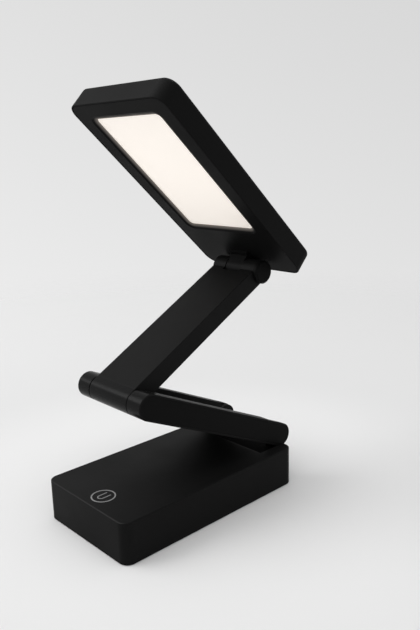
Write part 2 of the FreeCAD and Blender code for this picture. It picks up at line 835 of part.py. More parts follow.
def cells():
    """Two round cells side by side, each with a contact in front of its button and a bow spring behind it."""
    contacts = []
    for side in SIDES:
        place = place_across(side, "cell_across")
        axis = (place, "cell_level")
        shoulder = "cell_front + cell_button_height"
        profile = [
            ("cell_front", "0"),
            ("cell_front", "cell_button_radius"),
            (shoulder, "cell_button_radius"),
            (shoulder, "cell_radius"),
            ("cell_rear", "cell_radius"),
            ("cell_rear", "0"),
        ]
        keep(f"cell_{side}", turned(f"{side}_cell", "Y", axis, profile))
        plate_x = (f"{place} - contact_width / 2", f"{place} + contact_width / 2")
        plate_z = ("cell_level - contact_width / 2", "cell_level + contact_width / 2")
        contacts.append(
            block(f"{side}_front_contact", plate_x, ("bay_front", "bay_front + contact_thickness"), plate_z)
        )
        strip = block(f"{side}_strip", plate_x, ("bay_rear - contact_thickness", "bay_rear"), plate_z)
        bow_x = (f"{place} - spring_width / 2", f"{place} + spring_width / 2")
        bow_axis = ("bay_rear - contact_thickness + fit_gap - bow_radius", "cell_level")
        bow = ring(f"{side}_bow", "X", bow_x, bow_axis, "bow_radius", "bow_radius - contact_thickness")
        bow_middle = "bay_rear - spring_depth / 2"
        slit = block(
            f"{side}_slit",
            (f"{place} - spring_width", f"{place} + spring_width"),
            (f"{bow_middle} - spring_slit / 2", f"{bow_middle} + spring_slit / 2"),
            ("cell_level", "cell_level + spring_depth"),
        )
        keep(f"spring_{side}", fuse(f"{side}_spring", strip, cut(f"{side}_open_bow", bow, slit)))
    keep_group("battery_contacts", contacts)


def control_electronics():
    """Board under the roof with its chips and screws, and the touch sensor between it and the roof."""
    board = block(
        "board_blank",
        ("-half_board", "half_board"),
        ("board_front", "board_rear"),
        ("board_bottom", "board_top"),
    )
    holes = []
    screws = []
    for side in SIDES:
        place = (place_across(side, "board_post_across"), "board_post_along")
        span = ("board_bottom - cut_overrun", "board_top + cut_overrun")
        holes.append(rod(f"board_{side}_hole", "Z", span, place, "board_screw_radius + fit_gap"))
        screws.append(
            screw(
                f"board_{side}_screw",
                "board_bottom",
                "board_bottom + board_screw_length",
                place,
                "board_screw_radius",
                "board_screw_head_radius",
                "board_bottom - board_screw_head_height",
            )
        )
    keep("control_board", cut("board", board, *holes))
    keep_group("board_screws", screws)
    chips = []
    for number in range(3):
        middle = f"({number} - 1) * 2 * chip_width"
        chips.append(
            block(
                f"chip_{number}",
                (f"{middle} - chip_width / 2", f"{middle} + chip_width / 2"),
                ("board_front + chip_depth", "board_front + 2 * chip_depth"),
                ("board_bottom - chip_height", "board_bottom"),
            )
        )
    keep_group("control_chips", chips)
    place = ("touch_offset", "touch_along")
    film = ("roof_level - touch_thickness", "roof_level")
    keep("touch_electrode", rod("touch_film", "Z", film, place, "touch_radius"))
    post = ("board_top", "roof_level - touch_thickness")
    keep("touch_post", rod("touch_column", "Z", post, place, "touch_post_radius"))


def charging_inlet():
    """Round inlet in the rear wall on a small board of its own."""
    half = "charge_board_width / 2"
    board = block(
        "charge_board_blank",
        (f"socket_place - {half}", f"socket_place + {half}"),
        ("charge_board_rear - charge_board_depth", "charge_board_rear"),
        ("charge_board_bottom", "socket_bottom"),
    )
    keep("charge_board", board)
    axis = ("socket_place", "socket_level")
    case = block(
        "socket_case",
        ("socket_place - socket_width / 2", "socket_place + socket_width / 2"),
        ("socket_front", "base_rear - base_wall"),
        ("socket_bottom", "socket_bottom + socket_height"),
    )
    collar = rod("socket_collar", "Y", ("socket_front", "base_rear"), axis, "socket_collar_radius")
    bore_span = ("base_rear - socket_bore_depth", "base_rear + cut_overrun")
    bore = rod("socket_bore", "Y", bore_span, axis, "socket_bore_radius")
    pin_span = (
        "base_rear - socket_bore_depth - socket_pin_radius",
        "base_rear - socket_bore_depth + socket_pin_length",
    )
    pin = rod("socket_pin", "Y", pin_span, axis, "socket_pin_radius")
    hollow = cut("socket_hollow", fuse("socket_body", case, collar), bore)
    keep("charge_socket", fuse("socket", hollow, pin))


def rear_hinge():
    """Shoulder pins fixed in the base's lugs, and the friction washers between lugs and ears."""
    axis = ("rear_hinge_along", "rear_hinge_level")
    pins = []
    washers = []
    head_seat = "cover_seat - rear_pin_head_height - fit_gap"
    for side in SIDES:
        reaches = ("lug_inner_reach", head_seat, "cover_seat - fit_gap")
        start, seat, end = (place_across(side, reach) for reach in reaches)
        profile = [
            (start, "0"),
            (start, "rear_pin_radius"),
            (seat, "rear_pin_radius"),
            (seat, "rear_pin_head_radius"),
            (end, "rear_pin_head_radius"),
            (end, "0"),
        ]
        pins.append(turned(f"rear_{side}_pin", "X", axis, profile))
        inset = "(ear_gap - rear_washer_thickness) / 2"
        span = across(side, f"lug_outer_reach + {inset}", f"ear_inner_reach - {inset}")
        washers.append(
            ring(f"rear_{side}_washer", "X", span, axis, "rear_washer_radius", "rear_pin_radius + run_gap")
        )
    keep_group("rear_hinge_pins", pins)
    keep_group("rear_hinge_washers", washers)


# The lower arm, from the rear hinge axis, lying forwards


def slot_bar(name, x, radius, soft_side=None):
    """A round-ended bar from the rear axis to the middle axis; the rim of its soft_side face is rounded."""
    body = doc.addObject("PartDesign::Body", name)
    sketch = plane_sketch(body, name + "_profile", "YZ_Plane")
    bind(sketch, "AttachmentOffset.Base.z", x[0])
    half, length = value(radius), value("arm_length")
    normal = FreeCAD.Vector(0, 0, 1)
    front, rear = FreeCAD.Vector(-length, 0, 0), FreeCAD.Vector()
    rise = FreeCAD.Vector(0, half, 0)
    quarter = math.pi / 2
    sketch.addGeometry(Part.LineSegment(front + rise, rear + rise), False)
    sketch.addGeometry(Part.ArcOfCircle(Part.Circle(rear, normal, half), -quarter, quarter), False)
    sketch.addGeometry(Part.LineSegment(rear - rise, front - rise), False)
    sketch.addGeometry(Part.ArcOfCircle(Part.Circle(front, normal, half), quarter, 3 * quarter), False)
    for ends in ((0, 2, 1, 2), (1, 1, 2, 1), (2, 2, 3, 2), (3, 1, 0, 1)):
        sketch.addConstraint(Sketcher.Constraint("Tangent", *ends))
    sketch.addConstraint(Sketcher.Constraint("Equal", 1, 3))
    sketch.addConstraint(Sketcher.Constraint("Coincident", 1, 3, -1, 1))
    sketch.addConstraint(Sketcher.Constraint("PointOnObject", 3, 3, -1))
    drive(sketch, "DistanceX", -1, 1, 3, 3, "-arm_length")
    drive(sketch, "Radius", 1, radius)
    pad = body.newObject("PartDesign::Pad", name + "_pad")
    pad.Profile = sketch
    bind(pad, "Length", f"({x[1]}) - ({x[0]})")
    if soft_side:
        side = value(soft_side)
        round_edges(body, name + "_rim", pad, "arm_edge_radius", lambda edge: is_beside(edge, side))
    return body


def lower_arm_channel():
    """Two hollow rails and the floor between them, forked at both ends."""
    pieces = []
    tools = []
    for side in SIDES:
        span = across(side, "rail_inner_reach", "half_arm")
        pieces.append(slot_bar(f"rail_{side}", span, "arm_radius", place_across(side, "half_arm")))
        past_side = across(side, "cover_seat", "half_arm + cut_overrun")
        tools.append(slot_bar(f"cover_{side}_seat", past_side, "cover_radius"))
        tools.append(
            block(
                f"rail_{side}_duct",
                across(side, "rail_inner_reach + rail_wall", "cover_seat + cut_overrun"),
                ("-arm_length + rail_end", "-rail_end"),
                ("-cover_radius + cover_rim", "cover_radius - cover_rim"),
            )
        )
        tools.append(
            block(
                f"rail_{side}_notch",
                across(side, "rail_inner_reach - cut_overrun", "ear_inner_reach"),
                ("-rear_notch", "arm_radius + cut_overrun"),
                ("-arm_radius - cut_overrun", "arm_radius + cut_overrun"),
            )
        )
        through = across(side, "rail_inner_reach - cut_overrun", "half_arm")
        knuckle = ("-arm_length", "0")
        tools.append(rod(f"ear_{side}_bore", "X", through, ("0", "0"), "rear_pin_radius + run_gap"))
        tools.append(rod(f"knuckle_{side}_bore", "X", through, knuckle, "middle_bolt_radius + run_gap"))
        pin_sink = across(side, "cover_seat - rear_pin_head_height - 2 * fit_gap", "half_arm")
        tools.append(rod(f"ear_{side}_sink", "X", pin_sink, ("0", "0"), "rear_pin_head_radius + fit_gap"))
        bolt_sink = across(side, "cover_seat - middle_head_height - fit_gap", "half_arm")
        tools.append(rod(f"knuckle_{side}_sink", "X", bolt_sink, knuckle, "middle_head_radius + fit_gap"))
    pieces.append(
        block(
            "channel_floor_sheet",
            ("-rail_inner_reach - rail_wall / 2", "rail_inner_reach + rail_wall / 2"),
            ("-arm_length + arm_radius + floor_front_gap", "-rear_notch"),
            ("-arm_radius", "-arm_radius + channel_floor"),
        )
    )
    keep("lower_arm_channel", cut("channel", fuse("channel_body", *pieces), *tools), "lower_arm")


def lower_arm_covers():
    """Round-ended covers set into the outer sides of the rails."""
    for side in SIDES:
        span = across(side, "cover_seat", "half_arm - cover_sink")
        cover = slot_bar(f"cover_{side}", span, "cover_radius - fit_gap")
        keep(f"lower_arm_cover_{side}", cover, "lower_arm")


def middle_hinge():
    """Bolt through both arms, its nut, and the washers in the two seams."""
    axis = ("-arm_length", "0")
    seat = "cover_seat - middle_head_height"
    start, end = "-cover_seat + fit_gap", "cover_seat - fit_gap"
    profile = [
        (start, "0"),
        (start, "middle_bolt_radius"),
        (seat, "middle_bolt_radius"),
        (seat, "middle_head_radius"),
        (end, "middle_head_radius"),
        (end, "0"),
    ]
    keep("middle_hinge_bolt", turned("middle_bolt", "X", axis, profile), "lower_arm")
    nut_span = ("-cover_seat + fit_gap", f"-({seat})")
    hole_span = ("-half_arm", f"-({seat}) + cut_overrun")
    nut = cut(
        "middle_nut",
        hexagon("middle_nut_blank", "X", nut_span, axis, "middle_head_radius"),
        rod("middle_nut_hole", "X", hole_span, axis, "middle_bolt_radius + run_gap"),
    )
    keep("middle_hinge_nut", nut, "lower_arm")
    washers = []
    inset = "(hinge_gap - middle_washer_thickness) / 2"
    hole = "middle_bolt_radius + run_gap"
    for side in SIDES:
        span = across(side, f"half_upper + {inset}", f"rail_inner_reach - {inset}")
        washers.append(ring(f"middle_{side}_washer", "X", span, axis, "middle_washer_radius", hole))
    keep_group("middle_hinge_washers", washers, "lower_arm")


# The upper arm, from the middle hinge axis, lying rearwards


def arm_boss_places():
    """Where the back cover is screwed down."""
    low = "upper_pocket_start + arm_boss_inset"
    high = "upper_pocket_end - arm_boss_inset"
    return [(place_across(side, "arm_boss_reach"), y) for side in SIDES for y in (low, high)]


def upper_arm_bar():
    """The arm's side profile, a flat bar whose ends swell into the two barrels, padded across its width."""
    body = doc.addObject("PartDesign::Body", "upper_bar")
    sketch = plane_sketch(body, "upper_bar_profile", "YZ_Plane")
    bind(sketch, "AttachmentOffset.Base.z", "-half_upper")
    low, high = value("arm_radius"), value("top_radius")
    back, rise, length = value("upper_back"), value("top_offset"), value("upper_length")
    normal = FreeCAD.Vector(0, 0, 1)
    barrel, upper_barrel = FreeCAD.Vector(), FreeCAD.Vector(length, rise, 0)
    start = FreeCAD.Vector(0, low, 0)
    over = FreeCAD.Vector(length - math.sqrt(high**2 - (low - rise) ** 2), low, 0)
    under = FreeCAD.Vector(length - math.sqrt(high**2 - (back - rise) ** 2), back, 0)
    end = FreeCAD.Vector(math.sqrt(low**2 - back**2), back, 0)
    upper_turn = [math.atan2(point.y - rise, point.x - length) for point in (under, over)]
    lower_turn = [math.pi / 2, math.tau + math.atan2(end.y, end.x)]
    sketch.addGeometry(Part.LineSegment(start, over), False)
    sketch.addGeometry(Part.ArcOfCircle(Part.Circle(upper_barrel, normal, high), *upper_turn), False)
    sketch.addGeometry(Part.LineSegment(under, end), False)
    sketch.addGeometry(Part.ArcOfCircle(Part.Circle(barrel, normal, low), *lower_turn), False)
    for ends in ((0, 1, 3, 1), (0, 2, 1, 2), (1, 1, 2, 1), (2, 2, 3, 2), (3, 3, -1, 1)):
        sketch.addConstraint(Sketcher.Constraint("Coincident", *ends))
    for line in (0, 2):
        sketch.addConstraint(Sketcher.Constraint("Horizontal", line))
    sketch.addConstraint(Sketcher.Constraint("PointOnObject", 0, 1, -2))
    drive(sketch, "Radius", 3, "arm_radius")
    drive(sketch, "Radius", 1, "top_radius")
    drive(sketch, "DistanceX", -1, 1, 1, 3, "upper_length")
    drive(sketch, "DistanceY", -1, 1, 1, 3, "top_offset")
    drive(sketch, "DistanceY", -1, 1, 2, 1, "upper_back")
    pad = body.newObject("PartDesign::Pad", "upper_bar_pad")
    pad.Profile = sketch
    bind(pad, "Length", "upper_width")
    round_edges(body, "upper_bar_edges", pad, "upper_edge_radius", is_front_side)
    return body


def upper_arm_shell():
    """Flat arm between two barrels, hollow from behind, forked at its upper end."""
    top_axis = ("upper_length", "top_offset")
    solid = upper_arm_bar()
    past = ("-half_upper - cut_overrun", "half_upper + cut_overrun")
    hollow = cut(
        "upper_hollow",
        solid,
        rod("lower_bore", "X", past, ("0", "0"), "middle_bolt_radius + run_gap"),
        rod("upper_bore", "X", past, top_axis, "top_bolt_radius + run_gap"),
        block(
            "lug_slot",
            ("-half_slot", "half_slot"),
            ("top_slot_start", "upper_length + top_radius + cut_overrun"),
            ("top_offset - top_radius - cut_overrun", "top_offset + top_radius + cut_overrun"),
        ),
        block(
            "back_cover_seat",
            ("-half_upper + upper_side_wall - upper_ledge", "half_upper - upper_side_wall + upper_ledge"),
            ("upper_pocket_start - upper_ledge", "upper_pocket_end + upper_ledge"),
            ("upper_back - cut_overrun", "back_cover_inside"),
        ),
        block(
            "arm_pocket",
            ("-half_upper + upper_side_wall", "half_upper - upper_side_wall"),
            ("upper_pocket_start", "upper_pocket_end"),
            ("upper_back - cut_overrun", "upper_pocket_top"),
        ),
        rod(
            "bolt_head_sink",
            "X",
            ("-half_upper - cut_overrun", "-half_upper + top_head_height + fit_gap"),
            top_axis,
            "top_head_radius + fit_gap",
        ),
        rod(
            "nut_sink",
            "X",
            ("half_upper - top_head_height - fit_gap", "half_upper + cut_overrun"),
            top_axis,
            "top_head_radius + fit_gap",
        ),
    )
    bosses = [hollow]
    pilots = []
    for number, place in enumerate(arm_boss_places()):
        span = ("back_cover_inside", "upper_pocket_top + upper_wall / 2")
        bosses.append(rod(f"arm_boss_{number}", "Z", span, place, "arm_boss_radius"))
        pilot = ("back_cover_inside - cut_overrun", "upper_back + arm_screw_length + arm_screw_head_height")
        pilots.append(rod(f"arm_pilot_{number}", "Z", pilot, place, "arm_screw_radius + run_gap"))
    keep("upper_arm_shell", cut("upper_shell", fuse("upper_bossed", *bosses), *pilots), "upper_arm")


def upper_arm_back_cover():
    """Cover let into the back of the arm, and its screws."""
    margin = "upper_side_wall - upper_ledge + fit_gap"
    blank = block(
        "back_cover_blank",
        (f"-half_upper + {margin}", f"half_upper - ({margin})"),
        ("upper_pocket_start - upper_ledge + fit_gap", "upper_pocket_end + upper_ledge - fit_gap"),
        ("upper_back", "back_cover_inside"),
    )
    holes = []
    screws = []
    seat = "upper_back + arm_screw_head_height"
    for number, place in enumerate(arm_boss_places()):
        through = ("upper_back - cut_overrun", "back_cover_inside + cut_overrun")
        holes.append(rod(f"cover_hole_{number}", "Z", through, place, "arm_screw_radius + fit_gap"))
        sink = ("upper_back - cut_overrun", seat)
        holes.append(rod(f"cover_sink_{number}", "Z", sink, place, "arm_screw_head_radius + fit_gap"))
        screws.append(
            screw(
                f"arm_screw_{number}",
                seat,
                f"{seat} + arm_screw_length",
                place,
                "arm_screw_radius",
                "arm_screw_head_radius",
                "upper_back",
            )
        )
    keep("upper_arm_back_cover", cut("back_cover", blank, *holes), "upper_arm")
    keep_group("upper_arm_screws", screws, "upper_arm")


def top_hinge():
    """Bolt, nut, washers, and the round cap that closes the right end of the upper barrel."""
    axis = ("upper_length", "top_offset")
    seat = "half_upper - top_head_height"
    profile = [
        ("-half_upper", "0"),
        ("-half_upper", "top_head_radius"),
        (f"-({seat})", "top_head_radius"),
        (f"-({seat})", "top_bolt_radius"),
        ("half_upper - fit_gap", "top_bolt_radius"),
        ("half_upper - fit_gap", "0"),
    ]
    keep("top_hinge_bolt", turned("top_bolt", "X", axis, profile), "upper_arm")
    nut = cut(
        "top_nut",
        hexagon("top_nut_blank", "X", (seat, "half_upper - fit_gap"), axis, "top_head_radius"),
        rod("top_nut_hole", "X", (f"{seat} - cut_overrun", "half_upper"), axis, "top_bolt_radius + run_gap"),
    )
    keep("top_hinge_nut", nut, "upper_arm")
    inset = "(top_lug_gap - top_washer_thickness) / 2"
    washers = []
    for side in SIDES:
        span = across(side, f"top_lug_width / 2 + {inset}", f"half_slot - ({inset})")
        washers.append(
            ring(f"top_{side}_washer", "X", span, axis, "top_washer_radius", "top_bolt_radius + run_gap")
        )
    keep_group("top_hinge_washers", washers, "upper_arm")
    shoulder = "half_upper + end_cap_length - end_cap_chamfer"
    outer = "half_upper + end_cap_length"
    profile = [
        ("half_upper", "0"),
        ("half_upper", "top_radius"),
        (shoulder, "top_radius"),
        (outer, "top_radius - end_cap_chamfer"),
        (outer, "0"),
    ]
    cap = turned("end_cap", "X", axis, profile)
    keep("top_hinge_end_cap", cap, "upper_arm")


# The head, from the top hinge axis, lying forwards and facing down


def lug_boss_places():
    """Where the lug's foot is screwed to the shell."""
    return [(place_across(side, "lug_boss_reach"), "(lug_foot_back - lug_foot_front) / 2") for side in SIDES]


def head_shell():
    """Tray that forms the back and sides of the head, rebated for the bezel, with two bosses for the lug."""
    tray = cut(
        "head_tray",
        rounded_plate(
            "head_outside",
            ("-half_head", "half_head"),
            ("head_front", "head_tail"),
            ("face_offset", "head_top"),
            "head_corner_radius",
            "head_back_radius",
            "head_face_radius",
        ),
        rounded_plate(
            "head_hollow",
            ("-half_head + head_wall", "half_head - head_wall"),
            ("head_front + head_wall", "head_tail - head_wall"),
            ("face_offset - cut_overrun", "head_inside"),
            "head_corner_radius - head_wall",
        ),
        rounded_plate(
            "head_rebate",
            ("-half_head + head_rim", "half_head - head_rim"),
            ("head_front + head_rim", "head_tail - head_rim"),
            ("face_offset - cut_overrun", "bezel_inside"),
            "head_corner_radius - head_rim",
        ),
    )
    bosses = [tray]
    pilots = []
    pilot_end = "lug_foot_face + lug_screw_head_height + lug_screw_length"
    for number, place in enumerate(lug_boss_places()):
        span = ("lug_foot_back_face", "head_inside + head_back / 2")
        bosses.append(rod(f"lug_boss_{number}", "Z", span, place, "lug_boss_radius"))
        pilot = ("lug_foot_back_face - cut_overrun", pilot_end)
        pilots.append(rod(f"lug_pilot_{number}", "Z", pilot, place, "lug_screw_radius + run_gap"))
    keep("head_shell", cut("head_case", fuse("head_bossed", *bosses), *pilots), "head")


def head_bezel():
    """Face panel inside the tray's rim, with the sloped light window, the lug's slot and a small lip."""
    margin = "head_rim + bezel_gap"
    panel = rounded_plate(
        "bezel_blank",
        (f"-half_head + {margin}", f"half_head - ({margin})"),
        (f"head_front + {margin}", f"head_tail - ({margin})"),
        ("bezel_face", "bezel_inside"),
        f"head_corner_radius - ({margin})",
    )
    slot_front = "-top_lug_radius - 2 * fit_gap"
    lip = block(
        "bezel_lip",
        ("-lip_width / 2", "lip_width / 2"),
        (f"{slot_front} - lip_depth", slot_front),
        ("bezel_face - lip_height", "bezel_inside"),
    )
    window = rounded_plate(
        "light_window",
        ("-half_window", "half_window"),
        ("window_front", "window_rear"),
        ("bezel_face - cut_overrun", "bezel_inside + cut_overrun"),
        "window_radius",
    )
    flare = rounded_plate(
        "window_flare",
        ("-half_window - window_bevel", "half_window + window_bevel"),
        ("window_front - window_bevel", "window_rear + window_bevel"),
        ("bezel_face - cut_overrun", "bezel_face + window_bevel_depth"),
        "window_radius + window_bevel",
    )
    slope_rim(flare, "window_slope", "bezel_face + window_bevel_depth", "window_bevel_depth", "window_bevel")
    slot = block(
        "lug_opening",
        ("-top_lug_width / 2 - fit_gap", "top_lug_width / 2 + fit_gap"),
        (slot_front, "top_lug_back + 2 * fit_gap"),
        ("bezel_face - cut_overrun", "bezel_inside + cut_overrun"),
    )
    keep("head_bezel", cut("bezel", fuse("bezel_panel", panel, lip), window, flare, slot), "head")


def light_unit():
    """Diffuser behind the window, the white frame round the light box, and the board with its lights."""
    wide = ("-half_diffuser", "half_diffuser")
    long = ("diffuser_front", "diffuser_rear")
    sheet = rounded_plate("diffuser_sheet", wide, long, ("diffuser_face", "diffuser_back"), "window_radius")
    keep("diffuser", sheet, "head")
    frame = cut(
        "light_frame",
        rounded_plate("frame_outside", wide, long, ("diffuser_back", "led_board_face"), "window_radius"),
        rounded_plate(
            "frame_inside",
            ("-half_diffuser + frame_wall", "half_diffuser - frame_wall"),
            ("diffuser_front + frame_wall", "diffuser_rear - frame_wall"),
            ("diffuser_back - cut_overrun", "led_board_face + cut_overrun"),
            "window_radius - frame_wall",
        ),
    )
    keep("reflector_frame", frame, "head")
    board_z = ("led_board_face", "led_board_back")
    board = rounded_plate("led_board_sheet", wide, long, board_z, "window_radius")
    keep("led_board", board, "head")
    sources = []
    columns = 4
    rows = 7
    breadth = "2 * (half_window - led_side_margin)"
    length = "(window_rear - window_front - 2 * led_end_margin)"
    for column in range(columns):
        for row in range(rows):
            x = f"-half_window + led_side_margin + {column} * {breadth} / {columns - 1}"
            y = f"window_front + led_end_margin + {row} * {length} / {rows - 1}"
            sources.append(
                block(
                    f"led_{column}_{row}",
                    (f"{x} - led_width / 2", f"{x} + led_width / 2"),
                    (f"{y} - led_length / 2", f"{y} + led_length / 2"),
                    ("led_board_face - led_height", "led_board_face"),
                )
            )
    keep_group("led_chips", sources, "head")


def head_lug():
    """Lug that comes out of the face and turns in the fork, with its foot inside the head, and its screws."""
    half = "top_lug_width / 2"
    eye = rod("lug_eye", "X", (f"-{half}", half), ("0", "0"), "top_lug_radius")
    neck_y = ("-top_lug_radius", "top_lug_back")
    neck = block("lug_neck", (f"-{half}", half), neck_y, ("0", "lug_foot_back_face"))
    foot = block(
        "lug_foot",
        ("-lug_foot_width / 2", "lug_foot_width / 2"),
        ("-lug_foot_front", "lug_foot_back"),
        ("lug_foot_face", "lug_foot_back_face"),
    )
    bore_span = (f"-{half} - cut_overrun", f"{half} + cut_overrun")
    holes = [rod("lug_bore", "X", bore_span, ("0", "0"), "top_bolt_radius + run_gap")]
    screws = []
    seat = "lug_foot_face + lug_screw_head_height"
    for number, place in enumerate(lug_boss_places()):
        through = ("lug_foot_face - cut_overrun", "lug_foot_back_face + cut_overrun")
        holes.append(rod(f"foot_hole_{number}", "Z", through, place, "lug_screw_radius + fit_gap"))
        sink = ("lug_foot_face - cut_overrun", seat)
        holes.append(rod(f"foot_sink_{number}", "Z", sink, place, "lug_screw_head_radius + fit_gap"))
        screws.append(
            screw(
                f"lug_screw_{number}",
                seat,
                f"{seat} + lug_screw_length",
                place,
                "lug_screw_radius",
                "lug_screw_head_radius",
                "lug_foot_face",
            )
        )
    keep("head_lug", cut("lug", fuse("lug_solid", eye, neck, foot), *holes), "head")
    keep_group("head_lug_screws", screws, "head")


def check_and_write():
    """Refuse a failed or invalid object, then write one STEP file per sub-part."""
    doc.recompute()
    failed = [item.Name for item in doc.Objects if {"Invalid", "Error"} & set(item.State)]
    for label, item in nodes.items():
        if item.Shape.isNull() or not item.Shape.isValid() or not item.Shape.Solids:
            failed.append(label)
    if failed:
        raise RuntimeError("failed objects: " + ", ".join(failed))
    os.makedirs("parts", exist_ok=True)
    for label, item in nodes.items():
        item.Shape.exportStep(f"parts/{label}.step")
        print(label, "solids", len(item.Shape.Solids), "volume", round(item.Shape.Volume, 1))


def main():
    """Build the lamp from the table up."""
    fill_sheets()
    base_housing()
    base_plate()
    base_fasteners()
    battery_door()
    cells()
    control_electronics()
    charging_inlet()
    rear_hinge()
    lower_arm_channel()
    lower_arm_covers()
    middle_hinge()
    upper_arm_shell()
    upper_arm_back_cover()
    top_hinge()
    head_shell()
    head_bezel()
    light_unit()
    head_lug()
    check_and_write()


main()
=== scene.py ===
"""A folding LED table lamp in black moulded plastic, dressed and lit for one plain studio view.

The lamp's solids come from the frame. This script gives each of them the finish of its real material, prints
the touch sign on the base, and sets up the floor, the lights and the camera.
"""

import logging
import math
from dataclasses import dataclass, field, replace
from enum import Enum
from typing import Any

import bmesh
import bpy
from mathutils import Matrix, Vector


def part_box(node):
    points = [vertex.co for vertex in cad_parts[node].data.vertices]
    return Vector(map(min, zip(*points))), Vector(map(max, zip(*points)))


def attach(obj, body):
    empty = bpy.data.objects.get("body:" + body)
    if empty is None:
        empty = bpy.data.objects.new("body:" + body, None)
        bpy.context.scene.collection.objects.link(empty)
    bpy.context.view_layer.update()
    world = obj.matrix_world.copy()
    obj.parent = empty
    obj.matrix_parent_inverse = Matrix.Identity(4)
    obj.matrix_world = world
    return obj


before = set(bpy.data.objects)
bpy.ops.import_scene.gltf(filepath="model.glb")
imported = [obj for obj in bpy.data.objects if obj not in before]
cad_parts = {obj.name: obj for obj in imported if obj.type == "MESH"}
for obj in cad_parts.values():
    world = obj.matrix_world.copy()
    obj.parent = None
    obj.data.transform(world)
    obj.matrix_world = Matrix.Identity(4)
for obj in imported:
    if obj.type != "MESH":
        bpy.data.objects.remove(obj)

LOG = logging.getLogger("lamp")
MM = 0.001
# Noise seldom leaves this middle part of its range.
NOISE_LOW = 0.3
NOISE_HIGH = 0.7
# The colour sockets of a Mix node share their names with its number sockets, so they go by number.
FIRST_COLOUR = 6
SECOND_COLOUR = 7
MIXED_COLOUR = 2

Triple = tuple[float, float, float]


def linear(hex_colour: str) -> tuple[float, float, float, float]:
    """Turn an sRGB colour into the linear values that shaders take.

    Args:
        hex_colour: six hex digits after a hash sign.

    Returns:
        Red, green, blue and an alpha of 1.
    """
    shares = [int(hex_colour[place : place + 2], 16) / 255 for place in (1, 3, 5)]
    red, green, blue = (s / 12.92 if s <= 0.04045 else ((s + 0.055) / 1.055) ** 2.4 for s in shares)
    return red, green, blue, 1.0


def metres(sizes_mm: Triple) -> Triple:
    """The same three sizes in metres."""
    across, along, level = sizes_mm
    return across * MM, along * MM, level * MM


def waves_per_metre(feature_mm: float) -> float:
    """The noise scale whose features are about that many millimetres wide."""
    return 1.0 / (feature_mm * MM)


def add_node(
    tree: bpy.types.NodeTree,
    kind: str,
    inputs: dict[Any, Any] | None = None,
    **settings: Any,
) -> bpy.types.Node:
    """Add one shader node with its settings and links.

    Args:
        tree: the node tree that gets it.
        kind: Blender's name of the node type.
        inputs: for each input, by name or number, an output socket to link or a value to set.
        settings: properties of the node itself.

    Returns:
        The new node.
    """
    node = tree.nodes.new(kind)
    for name, value in settings.items():
        setattr(node, name, value)
    for key, value in (inputs or {}).items():
        if isinstance(value, bpy.types.NodeSocket):
            tree.links.new(value, node.inputs[key])
        else:
            node.inputs[key].default_value = value
    return node


def start_material(name: str) -> tuple[bpy.types.Material, bpy.types.NodeTree, bpy.types.Node]:
    """Make a material that has a plain shader so far.

    Args:
        name: name of the material.

    Returns:
        The material, its node tree and its shader.
    """
    made = bpy.data.materials.new(name)
    made.use_nodes = True
    return made, made.node_tree, made.node_tree.nodes["Principled BSDF"]


class Moulding(Enum):
    """How the surface of a moulding tool was made, as the height of its grain and the spread of its gloss."""

    SPARK_ERODED = (0.012, 0.05)
    POLISHED = (0.0, 0.02)
    FOAMED = (0.05, 0.08)

    @property
    def grain_height_mm(self) -> float:
        """Height of the grain."""
        return self.value[0]

    @property
    def gloss_spread(self) -> float:
        """How far the roughness wanders over the surface."""
        return self.value[1]


@dataclass(frozen=True)
class PaintedShadeBox:
    """A box round a hollow that is coloured black as painted shade, and made fully rough."""

    middle_mm: Triple
    half_mm: Triple

    def mask(self, tree: bpy.types.NodeTree, place: bpy.types.NodeSocket) -> bpy.types.NodeSocket:
        """Tell what lies in the box of painted shade.

        Args:
            tree: the node tree of the material.
            place: the point that is shaded, in the piece's own frame.

        Returns:
            A socket with 1 in the box and 0 outside it.
        """
        middle = metres(self.middle_mm)
        offset = add_node(tree, "ShaderNodeVectorMath", {0: place, 1: middle}, operation="SUBTRACT")
        reach = add_node(tree, "ShaderNodeVectorMath", {0: offset.outputs["Vector"]}, operation="ABSOLUTE")
        split = add_node(tree, "ShaderNodeSeparateXYZ", {"Vector": reach.outputs["Vector"]})
        painted_shade_mask: bpy.types.NodeSocket | float = 1.0
        for axis, half in zip("XYZ", metres(self.half_mm)):
            limit = {0: split.outputs[axis], 1: half}
            within = add_node(tree, "ShaderNodeMath", limit, operation="LESS_THAN")
            both = add_node(tree, "ShaderNodeMath", {0: painted_shade_mask, 1: within.outputs[0]}, operation="MULTIPLY")
            painted_shade_mask = both.outputs[0]
        return painted_shade_mask


@dataclass(frozen=True)
class PaintedEdgeHighlight:
    """A rounded edge coloured lighter as a painted highlight, so that it shows as a fine light line."""

    faces: Triple
    # Colour of the painted highlight along the rounding.
    painted_highlight: str
    starts: float = 0.8
    full: float = 0.95

    def mask(self, tree: bpy.types.NodeTree) -> bpy.types.NodeSocket:
        """Tell what lies on the rounding, by the way it faces.

        Args:
            tree: the node tree of the material.

        Returns:
            A socket with 1 along the middle of the rounding, which fades to 0 towards the faces beside it.
        """
        facing = add_node(tree, "ShaderNodeTexCoord").outputs["Normal"]
        likeness = add_node(
            tree, "ShaderNodeVectorMath", {0: facing, 1: self.faces}, operation="DOT_PRODUCT"
        )
        span = {"Value": likeness.outputs["Value"], "From Min": self.starts, "From Max": self.full}
        return add_node(tree, "ShaderNodeMapRange", span).outputs["Result"]


